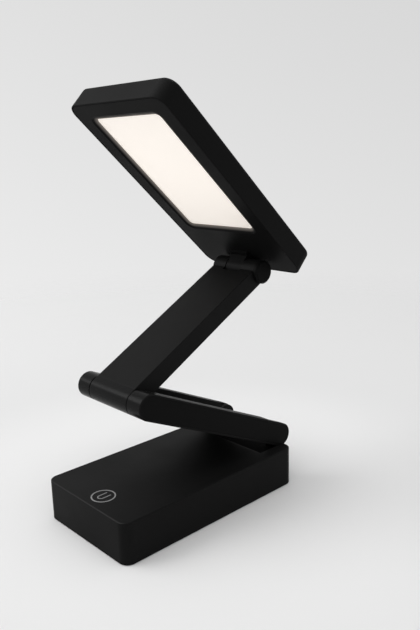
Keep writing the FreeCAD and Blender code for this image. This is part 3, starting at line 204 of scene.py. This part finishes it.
@dataclass(frozen=True)
class Barrel:
    """The round end of an arm, moulded in a bored part of the tool and so smoother than the rest."""

    along_mm: float
    level_mm: float
    radius_mm: float
    fade_mm: float
    smoother: float

    def mask(self, tree: bpy.types.NodeTree, place: bpy.types.NodeSocket) -> bpy.types.NodeSocket:
        """Tell what lies on the barrel, whose axis runs across the lamp.

        Args:
            tree: the node tree of the material.
            place: the point that is shaded, in the piece's own frame.

        Returns:
            A socket with 1 on the barrel, which fades to 0 on the flats that run out of it.
        """
        axis = metres((0.0, self.along_mm, self.level_mm))
        offset = add_node(tree, "ShaderNodeVectorMath", {0: place, 1: axis}, operation="SUBTRACT")
        sidewise = {0: offset.outputs["Vector"], 1: (0.0, 1.0, 1.0)}
        from_axis = add_node(tree, "ShaderNodeVectorMath", sidewise, operation="MULTIPLY")
        reach = add_node(tree, "ShaderNodeVectorMath", {0: from_axis.outputs["Vector"]}, operation="LENGTH")
        fade = add_node(
            tree,
            "ShaderNodeMapRange",
            {
                "Value": reach.outputs["Value"],
                "From Min": self.radius_mm * MM,
                "From Max": (self.radius_mm + self.fade_mm) * MM,
                "To Min": 1.0,
                "To Max": 0.0,
            },
            interpolation_type="SMOOTHSTEP",
        )
        return fade.outputs["Result"]


@dataclass(frozen=True)
class Spill:
    """Light of a lit sheet on the slopes of its window.

    The real sheet is many times brighter than white paper, so even black slopes beside it look lit. A picture
    can't show the sheet that bright, so the slopes get the glow that it would leave on them.
    """

    colour: str
    strength: float
    middle_mm: Triple
    outward: Triple
    half_width_mm: float
    foot_mm: float
    end_mm: float

    def shine(self, tree: bpy.types.NodeTree, place: bpy.types.NodeSocket, shader: bpy.types.Node) -> None:
        """Add the glow to a shader, full at the foot of the slopes and fading up them.

        Args:
            tree: the node tree of the material.
            place: the point that is shaded, in the piece's own frame.
            shader: the shader that gets it.
        """
        middle = metres(self.middle_mm)
        offset = add_node(tree, "ShaderNodeVectorMath", {0: place, 1: middle}, operation="SUBTRACT")
        upwards = {0: offset.outputs["Vector"], 1: self.outward}
        rise = add_node(tree, "ShaderNodeVectorMath", upwards, operation="DOT_PRODUCT")
        fade = add_node(
            tree,
            "ShaderNodeMapRange",
            {
                "Value": rise.outputs["Value"],
                "From Min": self.foot_mm * MM,
                "From Max": self.end_mm * MM,
                "To Min": self.strength,
                "To Max": 0.0,
            },
        )
        split = add_node(tree, "ShaderNodeSeparateXYZ", {"Vector": offset.outputs["Vector"]})
        side = add_node(tree, "ShaderNodeMath", {0: split.outputs["X"]}, operation="ABSOLUTE")
        width = {0: side.outputs[0], 1: self.half_width_mm * MM}
        near = add_node(tree, "ShaderNodeMath", width, operation="LESS_THAN")
        both = {0: fade.outputs["Result"], 1: near.outputs[0]}
        glow = add_node(tree, "ShaderNodeMath", both, operation="MULTIPLY")
        shader.inputs["Emission Color"].default_value = linear(self.colour)
        tree.links.new(glow.outputs[0], shader.inputs["Emission Strength"])


@dataclass(frozen=True)
class Plastic:
    """A moulded plastic: its colour is in the mass, and the tool's texture sets its gloss.

    A spark-eroded tool leaves a fine even grain, whose pits trap most of what smooth plastic would mirror. So
    black ABS stays near black from every side, and only a broad soft sheen shows where a light falls on it.
    """

    name: str
    colour: str
    roughness: float
    moulding: Moulding
    mirror: float = 0.5
    grain_mm: float = 0.45
    grain_contrast: float = 1.18
    grain_relief: float = 0.35
    patch_mm: float = 38.0
    painted_shade: PaintedShadeBox | None = None
    barrel: Barrel | None = None
    edge: PaintedEdgeHighlight | None = None
    spill: Spill | None = None

    def material(self) -> bpy.types.Material:
        """Build the shader.

        Returns:
            A material named for the plastic.
        """
        made, tree, shader = start_material(self.name)
        shader.inputs["Specular IOR Level"].default_value = self.mirror
        place = add_node(tree, "ShaderNodeTexCoord").outputs["Object"]
        # The real grain is about a tenth of a millimetre; it is drawn coarser so that it shows in a render.
        grain = add_node(
            tree,
            "ShaderNodeTexNoise",
            {"Vector": place, "Scale": waves_per_metre(self.grain_mm), "Detail": 2.0, "Roughness": 0.6},
        ).outputs["Fac"]
        colour = self.grained_colour(tree, grain)
        gloss = self.patchy_gloss(tree, place)
        if self.painted_shade:
            # Painted shade: the hollow is coloured black and made fully rough, so it stays dark as it would
            # in the arm's shadow.
            painted_shade_mask = self.painted_shade.mask(tree, place)
            black = {"Factor": painted_shade_mask, FIRST_COLOUR: colour, SECOND_COLOUR: linear("#000000")}
            colour = add_node(tree, "ShaderNodeMix", black, data_type="RGBA").outputs[MIXED_COLOUR]
            dull = {"Value": painted_shade_mask, "To Min": gloss, "To Max": 1.0}
            gloss = add_node(tree, "ShaderNodeMapRange", dull).outputs["Result"]
        tree.links.new(colour, shader.inputs["Base Color"])
        tree.links.new(gloss, shader.inputs["Roughness"])
        if self.spill:
            self.spill.shine(tree, place, shader)
        if self.moulding.grain_height_mm:
            height = self.moulding.grain_height_mm * MM
            relief = {"Height": grain, "Strength": self.grain_relief, "Distance": height}
            bump = add_node(tree, "ShaderNodeBump", relief)
            tree.links.new(bump.outputs["Normal"], shader.inputs["Normal"])
        return made

    def grained_colour(self, tree: bpy.types.NodeTree, grain: bpy.types.NodeSocket) -> bpy.types.NodeSocket:
        """Make the peaks of the grain a little lighter, and paint a highlight lighter still along a rounded
        edge.

        Args:
            tree: the node tree of the material.
            grain: height of the grain, from 0 to 1.

        Returns:
            The socket with the colour.
        """
        dark = linear(self.colour)
        light = (*(min(1.0, self.grain_contrast * part) for part in dark[:3]), 1.0)
        tones = {"Factor": grain, FIRST_COLOUR: dark, SECOND_COLOUR: light}
        colour = add_node(tree, "ShaderNodeMix", tones, data_type="RGBA").outputs[MIXED_COLOUR]
        # Painted highlight: the rounding that faces front and up is coloured lighter, where the light catches
        # it.
        if self.edge:
            painted_highlight = {
                "Factor": self.edge.mask(tree),
                FIRST_COLOUR: colour,
                SECOND_COLOUR: linear(self.edge.painted_highlight),
            }
            colour = add_node(tree, "ShaderNodeMix", painted_highlight, data_type="RGBA").outputs[MIXED_COLOUR]
        return colour

    def patchy_gloss(self, tree: bpy.types.NodeTree, place: bpy.types.NodeSocket) -> bpy.types.NodeSocket:
        """Vary the roughness in broad soft patches, as flow of the melt and handling do.

        Args:
            tree: the node tree of the material.
            place: the point that is shaded, in the piece's own frame.

        Returns:
            The socket with the roughness, which is lower on a barrel.
        """
        patches = add_node(
            tree,
            "ShaderNodeTexNoise",
            {"Vector": place, "Scale": waves_per_metre(self.patch_mm), "Detail": 3.0, "Roughness": 0.5},
        )
        gloss = add_node(
            tree,
            "ShaderNodeMapRange",
            {
                "Value": patches.outputs["Fac"],
                "From Min": NOISE_LOW,
                "From Max": NOISE_HIGH,
                "To Min": self.roughness - self.moulding.gloss_spread,
                "To Max": self.roughness + self.moulding.gloss_spread,
            },
        ).outputs["Result"]
        if self.barrel:
            bored = {0: self.barrel.mask(tree, place), 1: self.barrel.smoother}
            less = add_node(tree, "ShaderNodeMath", bored, operation="MULTIPLY").outputs[0]
            gloss = add_node(tree, "ShaderNodeMath", {0: gloss, 1: less}, operation="SUBTRACT").outputs[0]
        return gloss


@dataclass(frozen=True)
class Metal:
    """A plated or rolled metal: its colour is in its reflection, and its making leaves fine scratches."""

    name: str
    colour: str
    roughness: float
    polish: float = 0.1
    scratching: float = 0.12
    scratch_mm: float = 0.3
    scratch_stretch: Triple = (0.15, 1.0, 1.0)

    def material(self) -> bpy.types.Material:
        """Build the shader.

        Returns:
            A material named for the metal.
        """
        made, tree, shader = start_material(self.name)
        shader.inputs["Metallic"].default_value = 1.0
        shader.inputs["Base Color"].default_value = linear(self.colour)
        place = add_node(tree, "ShaderNodeTexCoord").outputs["Object"]
        stretched = add_node(tree, "ShaderNodeMapping", {"Vector": place, "Scale": self.scratch_stretch})
        scratches = add_node(
            tree,
            "ShaderNodeTexNoise",
            {"Vector": stretched.outputs["Vector"], "Scale": waves_per_metre(self.scratch_mm), "Detail": 3.0},
        )
        gloss = add_node(
            tree,
            "ShaderNodeMapRange",
            {
                "Value": scratches.outputs["Fac"],
                "To Min": self.roughness - self.polish,
                "To Max": self.roughness + self.scratching,
            },
        )
        tree.links.new(gloss.outputs["Result"], shader.inputs["Roughness"])
        return made


@dataclass(frozen=True)
class OpalSheet:
    """Opal acrylic lit from behind: its pigment spreads the light, a little less of it towards the ends."""

    name: str
    colour: str
    glow: str
    strength: float
    middle_mm: Triple
    up_the_head: Triple
    half_length_mm: float
    roughness: float = 0.42
    end_share: float = 0.9

    def material(self) -> bpy.types.Material:
        """Build the shader.

        Returns:
            A material named for the sheet.
        """
        made, tree, shader = start_material(self.name)
        shader.inputs["Base Color"].default_value = linear(self.colour)
        shader.inputs["Roughness"].default_value = self.roughness
        shader.inputs["Emission Color"].default_value = linear(self.glow)
        place = add_node(tree, "ShaderNodeTexCoord").outputs["Object"]
        middle = metres(self.middle_mm)
        offset = add_node(tree, "ShaderNodeVectorMath", {0: place, 1: middle}, operation="SUBTRACT")
        lengthwise = {0: offset.outputs["Vector"], 1: self.up_the_head}
        along = add_node(tree, "ShaderNodeVectorMath", lengthwise, operation="DOT_PRODUCT")
        reach = add_node(tree, "ShaderNodeMath", {0: along.outputs["Value"]}, operation="ABSOLUTE")
        fall = add_node(
            tree,
            "ShaderNodeMapRange",
            {
                "Value": reach.outputs["Value"],
                "From Min": 0.0,
                "From Max": self.half_length_mm * MM,
                "To Min": self.strength,
                "To Max": self.end_share * self.strength,
            },
            interpolation_type="SMOOTHSTEP",
        )
        tree.links.new(fall.outputs["Result"], shader.inputs["Emission Strength"])
        return made


Finish = Plastic | Metal | OpalSheet

# Body plastic: near black, with a broad soft sheen from its fine grain.
BLACK_ABS = Plastic("black_abs_spark_eroded", "#111111", 0.5, Moulding.SPARK_ERODED, mirror=0.05)
# Side covers, end cap and bezel: a shade blacker, with a fainter sheen.
BLACK_ABS_SMOOTH = replace(
    BLACK_ABS, name="black_abs_satin", colour="#0f0f0f", roughness=0.46, mirror=0.03, grain_mm=0.6
)
# Shell of the head: it mirrors less, so its long sides stay dark.
BLACK_ABS_MATT = replace(BLACK_ABS, name="black_abs_coarse_spark_eroded", mirror=0.036)
# Arms: a narrow bright band runs along the smooth barrel of the middle hinge, whose axis at rest is given.
FRONT_BARREL = Barrel(along_mm=-48.03, level_mm=81.3, radius_mm=7.8, fade_mm=1.2, smoother=0.26)
BLACK_ABS_BARREL = replace(BLACK_ABS, name="black_abs_bored_barrel", mirror=0.06, barrel=FRONT_BARREL)
# Housing of the base: a painted highlight makes its front rim a fine light line, and painted shade keeps the
# hollow at the rear hinge black.
# The hollow's box ends just under the flat top, which keeps its sheen.
ARM_HOLLOW_SHADE = PaintedShadeBox(middle_mm=(0.0, 49.0, 20.0), half_mm=(31.0, 12.5, 5.42))
FRONT_RIM_HIGHLIGHT = PaintedEdgeHighlight(faces=(0.0, -0.707, 0.707), painted_highlight="#292929")
BLACK_ABS_PAINTED_RIM_AND_HOLLOW = replace(
    BLACK_ABS, name="black_abs_painted_rim_highlight_and_hollow_shade", roughness=0.48, painted_shade=ARM_HOLLOW_SHADE, edge=FRONT_RIM_HIGHLIGHT
)
# Washers: smooth and a little greyer than the body, with a clearer sheen.
BLACK_NYLON = Plastic("black_nylon_moulded", "#1c1c1c", 0.5, Moulding.POLISHED)
# Feet: dull and dark, with an open grain.
RUBBER = Plastic("natural_rubber_moulded", "#1d1d1d", 0.8, Moulding.FOAMED)
# Post behind the touch sign: a dull dark grey with open pores.
FOAM = Plastic("conductive_foam", "#2b2b2b", 0.9, Moulding.FOAMED)
# Frame behind the lit sheet: a clean smooth white that throws light back.
WHITE_ABS = Plastic("white_abs_reflector", "#e9e9e6", 0.35, Moulding.POLISHED)
# Boards: a glassy dark green lacquer, and a glassy white one under the light chips.
GREEN_BOARD = Plastic("glass_epoxy_solder_mask", "#14482a", 0.3, Moulding.POLISHED)
WHITE_BOARD = Plastic("glass_epoxy_white_mask", "#e2e2de", 0.35, Moulding.POLISHED)
# Chips and the charging inlet: dull black.
EPOXY = Plastic("moulded_epoxy_chip", "#191919", 0.5, Moulding.SPARK_ERODED)
# Light chips: yellow under clear resin.
PHOSPHOR = Plastic("phosphor_in_resin", "#e8c23a", 0.2, Moulding.POLISHED)
# Cells in the base: a tight shiny blue skin.
SLEEVE = Plastic("shrink_sleeve_pvc", "#1f4f94", 0.25, Moulding.POLISHED)
# Touch sign: flat mid grey that shows up on the black.
INK = Plastic("pad_printed_grey_ink", "#7b7b7b", 0.55, Moulding.POLISHED)
# Screws, pins, bolts and nuts: a cool pale grey shine.
ZINC = Metal("steel_zinc_plated", "#b9bcbf", 0.35)
# Springs and contacts: a warmer and clearer shine.
NICKEL = Metal("steel_nickel_plated", "#cfc9bd", 0.28)
# Electrode behind the touch sign: a reddish shine.
COPPER = Metal("copper_film_rolled", "#c98a62", 0.3)


class Wardrobe:
    """Keeps one material for each finish, so that pieces of the same stuff share it."""

    def __init__(self) -> None:
        """Start with no material made."""
        self.made: dict[str, bpy.types.Material] = {}

    def put_on(self, piece: bpy.types.Object, finish: Finish) -> None:
        """Give a piece a finish.

        Args:
            piece: the object to dress.
            finish: what it is made of.
        """
        if finish.name not in self.made:
            self.made[finish.name] = finish.material()
        piece.data.materials.clear()
        piece.data.materials.append(self.made[finish.name])


def new_piece(name: str, shape: bmesh.types.BMesh) -> bpy.types.Object:
    """Make an object of a finished mesh.

    Args:
        name: name of the piece.
        shape: its mesh, in metres in the lamp's frame, which is freed.

    Returns:
        The object, linked into the scene.
    """
    mesh = bpy.data.meshes.new(name)
    bmesh.ops.recalc_face_normals(shape, faces=shape.faces)
    shape.to_mesh(mesh)
    shape.free()
    piece = bpy.data.objects.new(name, mesh)
    bpy.context.scene.collection.objects.link(piece)
    return piece


def stroke(line: list[Vector], width: float, thickness: float, closed: bool) -> bmesh.types.BMesh:
    """Draw a printed line as a thin raised band.

    Args:
        line: points along its middle, all at the level of the print.
        width: width of the band.
        thickness: how far the ink stands up.
        closed: whether the last point joins the first.

    Returns:
        The band's mesh.
    """
    shape = bmesh.new()
    count = len(line)
    rise = Vector((0, 0, thickness))
    rows = []
    for number, point in enumerate(line):
        before = line[(number - 1) % count] if closed or number else point
        after = line[(number + 1) % count] if closed or number < count - 1 else point
        side = Vector((0, 0, 1)).cross((after - before).normalized()) * (width / 2)
        corners = (point - side, point + side, point + side + rise, point - side + rise)
        rows.append([shape.verts.new(corner) for corner in corners])
    pairs = zip(rows, rows[1:] + rows[:1]) if closed else zip(rows, rows[1:])
    for first, second in pairs:
        for number in range(len(first)):
            following = (number + 1) % len(first)
            shape.faces.new((first[number], first[following], second[following], second[number]))
    if not closed:
        shape.faces.new(rows[0])
        shape.faces.new(rows[-1])
    return shape


@dataclass
class SubAssembly:
    """A group of nodes that belong together, the body that its own pieces ride on, and each node's finish."""

    wardrobe: Wardrobe
    body: str
    finishes: dict[str, Finish] = field(default_factory=dict)

    def dress(self) -> None:
        """Put each node's finish on it."""
        for node, finish in self.finishes.items():
            self.wardrobe.put_on(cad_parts[node], finish)
            LOG.info("%s: %s", node, finish.name)

    def build(self) -> None:
        """Make what the frame doesn't hold; most groups add nothing."""


@dataclass
class BaseUnit(SubAssembly):
    """The base on the table, with its cells and electronics, and the touch sign printed on its top."""

    body: str = "base"
    flat_half_width_mm: float = 36.0
    sign_across_mm: float = 4.1
    sign_along_mm: float = -65.1
    sign_radius_mm: float = 6.85
    sign_stroke_mm: float = 0.85
    sign_steps: int = 72
    mark_half_width_mm: float = 1.95
    mark_front_mm: float = -68.6
    mark_rear_mm: float = -61.2
    mark_stroke_mm: float = 0.7
    mark_steps: int = 16
    ink_mm: float = 0.04
    finishes: dict[str, Finish] = field(
        default_factory=lambda: {
            "base_housing": BLACK_ABS_PAINTED_RIM_AND_HOLLOW,
            "base_plate": BLACK_ABS,
            "base_screws": ZINC,
            "rubber_feet": RUBBER,
            "battery_door": BLACK_ABS,
            "cell_left": SLEEVE,
            "cell_right": SLEEVE,
            "spring_left": NICKEL,
            "spring_right": NICKEL,
            "battery_contacts": NICKEL,
            "control_board": GREEN_BOARD,
            "control_chips": EPOXY,
            "board_screws": ZINC,
            "touch_electrode": COPPER,
            "touch_post": FOAM,
            "charge_board": GREEN_BOARD,
            "charge_socket": EPOXY,
            "rear_hinge_pins": ZINC,
            "rear_hinge_washers": BLACK_NYLON,
        }
    )

    def build(self) -> None:
        """Print the ring and the open loop of the touch sign."""
        level = self.top_level()
        self.print_line("touch_sign_ring", self.ring_line(level), self.sign_stroke_mm, closed=True)
        self.print_line("touch_sign_mark", self.mark_line(level), self.mark_stroke_mm, closed=False)

    def top_level(self) -> float:
        """Height of the flat top of the base, read from its solid beyond the middle of the sign.

        Returns:
            The level in metres.
        """
        half = self.flat_half_width_mm * MM
        limit = self.sign_along_mm * MM
        corners = [corner.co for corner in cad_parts["base_housing"].data.vertices]
        return max(corner.z for corner in corners if corner.y < limit and abs(corner.x) < half)

    def on_top(self, level: float, along_mm: float, radius_mm: float, turn: float) -> Vector:
        """A point on a circle whose middle lies on the sign's own line along the base."""
        across_mm = self.sign_across_mm + radius_mm * math.cos(turn)
        return Vector((across_mm * MM, (along_mm + radius_mm * math.sin(turn)) * MM, level))

    def ring_line(self, level: float) -> list[Vector]:
        """Middle line of the ring's stroke, once round at that level."""
        turns = [math.tau * step / self.sign_steps for step in range(self.sign_steps)]
        return [self.on_top(level, self.sign_along_mm, self.sign_radius_mm, turn) for turn in turns]

    def mark_line(self, level: float) -> list[Vector]:
        """Middle line of the loop's stroke: a straight leg, a half circle at the front and the other leg.

        Args:
            level: height of the print in metres.

        Returns:
            Points from one end of the loop to the other.
        """
        bend = self.mark_front_mm + self.mark_half_width_mm
        turns = [math.pi + math.pi * step / self.mark_steps for step in range(self.mark_steps + 1)]
        curve = [self.on_top(level, bend, self.mark_half_width_mm, turn) for turn in turns]
        ends = [Vector((point.x, self.mark_rear_mm * MM, level)) for point in (curve[0], curve[-1])]
        return [ends[0], *curve, ends[1]]

    def print_line(self, name: str, line: list[Vector], width_mm: float, closed: bool) -> None:
        """Print one line of the sign in ink.

        Args:
            name: name of the piece.
            line: its middle line on the base's top.
            width_mm: width of the stroke.
            closed: whether it is a loop.
        """
        piece = new_piece(name, stroke(line, width_mm * MM, self.ink_mm * MM, closed))
        self.wardrobe.put_on(piece, INK)
        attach(piece, self.body)
        LOG.info("%s: %s", name, INK.name)


@dataclass
class LowerArm(SubAssembly):
    """The channel arm on the rear hinge, with its side covers and the bolt of the middle hinge."""

    body: str = "lower_arm"
    finishes: dict[str, Finish] = field(
        default_factory=lambda: {
            "lower_arm_channel": BLACK_ABS_BARREL,
            "lower_arm_cover_left": BLACK_ABS_SMOOTH,
            "lower_arm_cover_right": BLACK_ABS_SMOOTH,
            "middle_hinge_bolt": ZINC,
            "middle_hinge_nut": ZINC,
            "middle_hinge_washers": BLACK_NYLON,
        }
    )


@dataclass
class UpperArm(SubAssembly):
    """The flat arm that folds into the channel, with the barrel of the top hinge."""

    body: str = "upper_arm"
    finishes: dict[str, Finish] = field(
        default_factory=lambda: {
            "upper_arm_shell": BLACK_ABS_BARREL,
            "upper_arm_back_cover": BLACK_ABS,
            "upper_arm_screws": ZINC,
            "top_hinge_bolt": ZINC,
            "top_hinge_nut": ZINC,
            "top_hinge_washers": BLACK_NYLON,
            "top_hinge_end_cap": BLACK_ABS_SMOOTH,
        }
    )


@dataclass
class LightHead(SubAssembly):
    """The flat head with its lit window."""

    body: str = "head"
    lean: float = math.radians(43)
    sheet_colour: str = "#f2ede6"
    glow: str = "#fff3e8"
    glow_strength: float = 0.36
    spill_strength: float = 0.15
    brim_margin_mm: float = 1.0
    slope_foot_mm: float = 1.15
    glow_end_mm: float = 2.1

    def __post_init__(self) -> None:
        """Work out the lit sheet's place from its solid, and choose the finishes."""
        low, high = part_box("diffuser")
        middle_mm = tuple(part / MM for part in (low + high) / 2)
        # The sheet is an even warm white, a little weaker towards both ends.
        opal = OpalSheet(
            "opal_acrylic_lit",
            self.sheet_colour,
            self.glow,
            self.glow_strength,
            middle_mm,
            up_the_head=(0.0, -math.cos(self.lean), math.sin(self.lean)),
            half_length_mm=(high.z - low.z) / MM / (2 * math.sin(self.lean)),
        )
        # The slopes of the window show a thin lit line along their foot.
        spill = Spill(
            self.glow,
            self.spill_strength,
            middle_mm,
            outward=(0.0, -math.sin(self.lean), -math.cos(self.lean)),
            half_width_mm=(high.x - low.x) / MM / 2 + self.brim_margin_mm,
            foot_mm=self.slope_foot_mm,
            end_mm=self.glow_end_mm,
        )
        self.finishes = {
            "head_shell": BLACK_ABS_MATT,
            "head_bezel": replace(BLACK_ABS_SMOOTH, name="black_abs_satin_lit_window", spill=spill),
            "diffuser": opal,
            "reflector_frame": WHITE_ABS,
            "led_board": WHITE_BOARD,
            "led_chips": PHOSPHOR,
            "head_lug": BLACK_ABS,
            "head_lug_screws": ZINC,
        }


@dataclass(frozen=True)
class ViewPoint:
    """Where the photograph was taken from, fitted to the edges of the lamp."""

    azimuth: float = math.radians(46.91)
    elevation: float = math.radians(13.55)
    roll: float = math.radians(-1.41)
    place_mm: Triple = (309.44, -263.32, 217.31)
    focal_px: float = 684.45
    long_side_px: int = 630
    sensor_mm: float = 36.0
    nearest_m: float = 0.01
    farthest_m: float = 20.0

    def turn(self) -> Matrix:
        """The camera's axes.

        Returns:
            A matrix whose columns are the camera's right, up and back.
        """
        flat = math.cos(self.elevation)
        across = math.sin(self.azimuth) * flat
        along = -math.cos(self.azimuth) * flat
        back = Vector((across, along, math.sin(self.elevation)))
        level = Vector((math.cos(self.azimuth), math.sin(self.azimuth), 0))
        rise = back.cross(level)
        right = level * math.cos(self.roll) + rise * math.sin(self.roll)
        up = rise * math.cos(self.roll) - level * math.sin(self.roll)
        return Matrix((right, up, back)).transposed()

    def stand_camera(self) -> None:
        """Stand the scene's camera there."""
        lens = bpy.data.cameras.new("camera")
        lens.sensor_width = self.sensor_mm
        lens.lens = self.focal_px * self.sensor_mm / self.long_side_px
        lens.clip_start = self.nearest_m
        lens.clip_end = self.farthest_m
        camera = bpy.data.objects.new("camera", lens)
        camera.matrix_world = Matrix.Translation(Vector(self.place_mm) * MM) @ self.turn().to_4x4()
        bpy.context.scene.collection.objects.link(camera)
        bpy.context.scene.camera = camera


@dataclass(frozen=True)
class Softbox:
    """A square softbox aimed at the lamp."""

    name: str
    place_m: Triple
    side_m: float
    watts: float
    aim_m: Triple = (0.0, 0.0, 0.1)

    def hang(self) -> None:
        """Hang it in the scene."""
        light = bpy.data.lights.new(self.name, "AREA")
        light.size = self.side_m
        light.energy = self.watts
        hung = bpy.data.objects.new(self.name, light)
        hung.location = self.place_m
        towards = Vector(self.aim_m) - Vector(self.place_m)
        hung.rotation_euler = towards.to_track_quat("-Z", "Y").to_euler()
        bpy.context.scene.collection.objects.link(hung)


@dataclass
class Studio:
    """A pale floor that runs into a pale background, soft lights and the camera."""

    backdrop_low: str = "#f1f1f1"
    backdrop_high: str = "#d8d8d8"
    dark_side: Triple = (0.171, 0.484, 0.855)
    dark_from: float = -0.3
    dark_to: float = 0.5
    sky: str = "#ffffff"
    sky_strength: float = 0.61
    floor: str = "#e8e8e8"
    floor_far: str = "#dcdcdc"
    floor_roughness: float = 0.5
    floor_half_m: float = 3.0
    sweep_start_m: float = 0.1
    sweep_end_m: float = 0.25
    fade_start_m: float = 0.35
    fade_end_m: float = 0.9
    key: Softbox = Softbox("key_softbox", (-0.7, -0.74, 0.92), side_m=0.9, watts=8.0)
    top: Softbox = Softbox("top_softbox", (-0.1, 0.0, 1.25), side_m=1.2, watts=6.4)
    view: ViewPoint = ViewPoint()

    def build(self) -> None:
        """Set up everything round the lamp."""
        self.build_world()
        self.build_floor()
        self.key.hang()
        self.top.hang()
        self.view.stand_camera()
        bpy.context.scene.view_settings.view_transform = "Standard"

    def build_world(self) -> None:
        """Show the backdrop to the camera and in reflections, and a plain sky to everything else."""
        world = bpy.data.worlds.new("studio")
        bpy.context.scene.world = world
        world.use_nodes = True
        tree = world.node_tree
        tree.nodes.clear()
        plain = {"Color": linear(self.sky), "Strength": self.sky_strength}
        sky = add_node(tree, "ShaderNodeBackground", plain)
        looking = add_node(tree, "ShaderNodeTexCoord").outputs["Generated"]
        darker = {0: looking, 1: self.dark_side}
        rise = add_node(tree, "ShaderNodeVectorMath", darker, operation="DOT_PRODUCT")
        span = {"Value": rise.outputs["Value"], "From Min": self.dark_from, "From Max": self.dark_to}
        tones = {
            "Factor": add_node(tree, "ShaderNodeMapRange", span).outputs["Result"],
            FIRST_COLOUR: linear(self.backdrop_low),
            SECOND_COLOUR: linear(self.backdrop_high),
        }
        paper = add_node(tree, "ShaderNodeMix", tones, data_type="RGBA").outputs[MIXED_COLOUR]
        seen = add_node(tree, "ShaderNodeBackground", {"Color": paper, "Strength": 1.0})
        rays = add_node(tree, "ShaderNodeLightPath").outputs
        direct = rays["Is Camera Ray"]
        for kind in ("Is Glossy Ray", "Is Transmission Ray"):
            either = {0: direct, 1: rays[kind]}
            direct = add_node(tree, "ShaderNodeMath", either, operation="MAXIMUM").outputs[0]
        mix = add_node(tree, "ShaderNodeMixShader", {0: direct, 1: sky.outputs[0], 2: seen.outputs[0]})
        add_node(tree, "ShaderNodeOutputWorld", {"Surface": mix.outputs[0]})

    def build_floor(self) -> None:
        """Lay a matt paper floor that fades into the background, so that no horizon shows."""
        shape = bmesh.new()
        bmesh.ops.create_grid(shape, x_segments=2, y_segments=2, size=self.floor_half_m)
        floor = new_piece("floor", shape)
        made = bpy.data.materials.new("matt_paper_floor")
        made.use_nodes = True
        tree = made.node_tree
        tree.nodes.clear()
        place = add_node(tree, "ShaderNodeTexCoord").outputs["Object"]
        reach = add_node(tree, "ShaderNodeVectorMath", {0: place}, operation="LENGTH").outputs["Value"]
        # A paper sweep gets less light where it rises, so this flat floor gets a little darker there.
        rising = {"Value": reach, "From Min": self.sweep_start_m, "From Max": self.sweep_end_m}
        sweep = add_node(tree, "ShaderNodeMapRange", rising, interpolation_type="SMOOTHSTEP")
        tones = {
            "Factor": sweep.outputs["Result"],
            FIRST_COLOUR: linear(self.floor),
            SECOND_COLOUR: linear(self.floor_far),
        }
        tone = add_node(tree, "ShaderNodeMix", tones, data_type="RGBA").outputs[MIXED_COLOUR]
        matt = {"Color": tone, "Roughness": self.floor_roughness}
        paper = add_node(tree, "ShaderNodeBsdfDiffuse", matt)
        clear = add_node(tree, "ShaderNodeBsdfTransparent")
        leaving = {"Value": reach, "From Min": self.fade_start_m, "From Max": self.fade_end_m}
        gone = add_node(tree, "ShaderNodeMapRange", leaving, interpolation_type="SMOOTHSTEP")
        either = {0: gone.outputs["Result"], 1: paper.outputs[0], 2: clear.outputs[0]}
        mix = add_node(tree, "ShaderNodeMixShader", either)
        add_node(tree, "ShaderNodeOutputMaterial", {"Surface": mix.outputs[0]})
        floor.data.materials.append(made)


def main() -> None:
    """Dress the lamp and set up the studio."""
    logging.basicConfig(level=logging.INFO, format="%(name)s %(message)s")
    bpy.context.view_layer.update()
    wardrobe = Wardrobe()
    for group in (BaseUnit(wardrobe), LowerArm(wardrobe), UpperArm(wardrobe), LightHead(wardrobe)):
        group.dress()
        group.build()
    Studio().build()


if __name__ == "__main__":
    main()
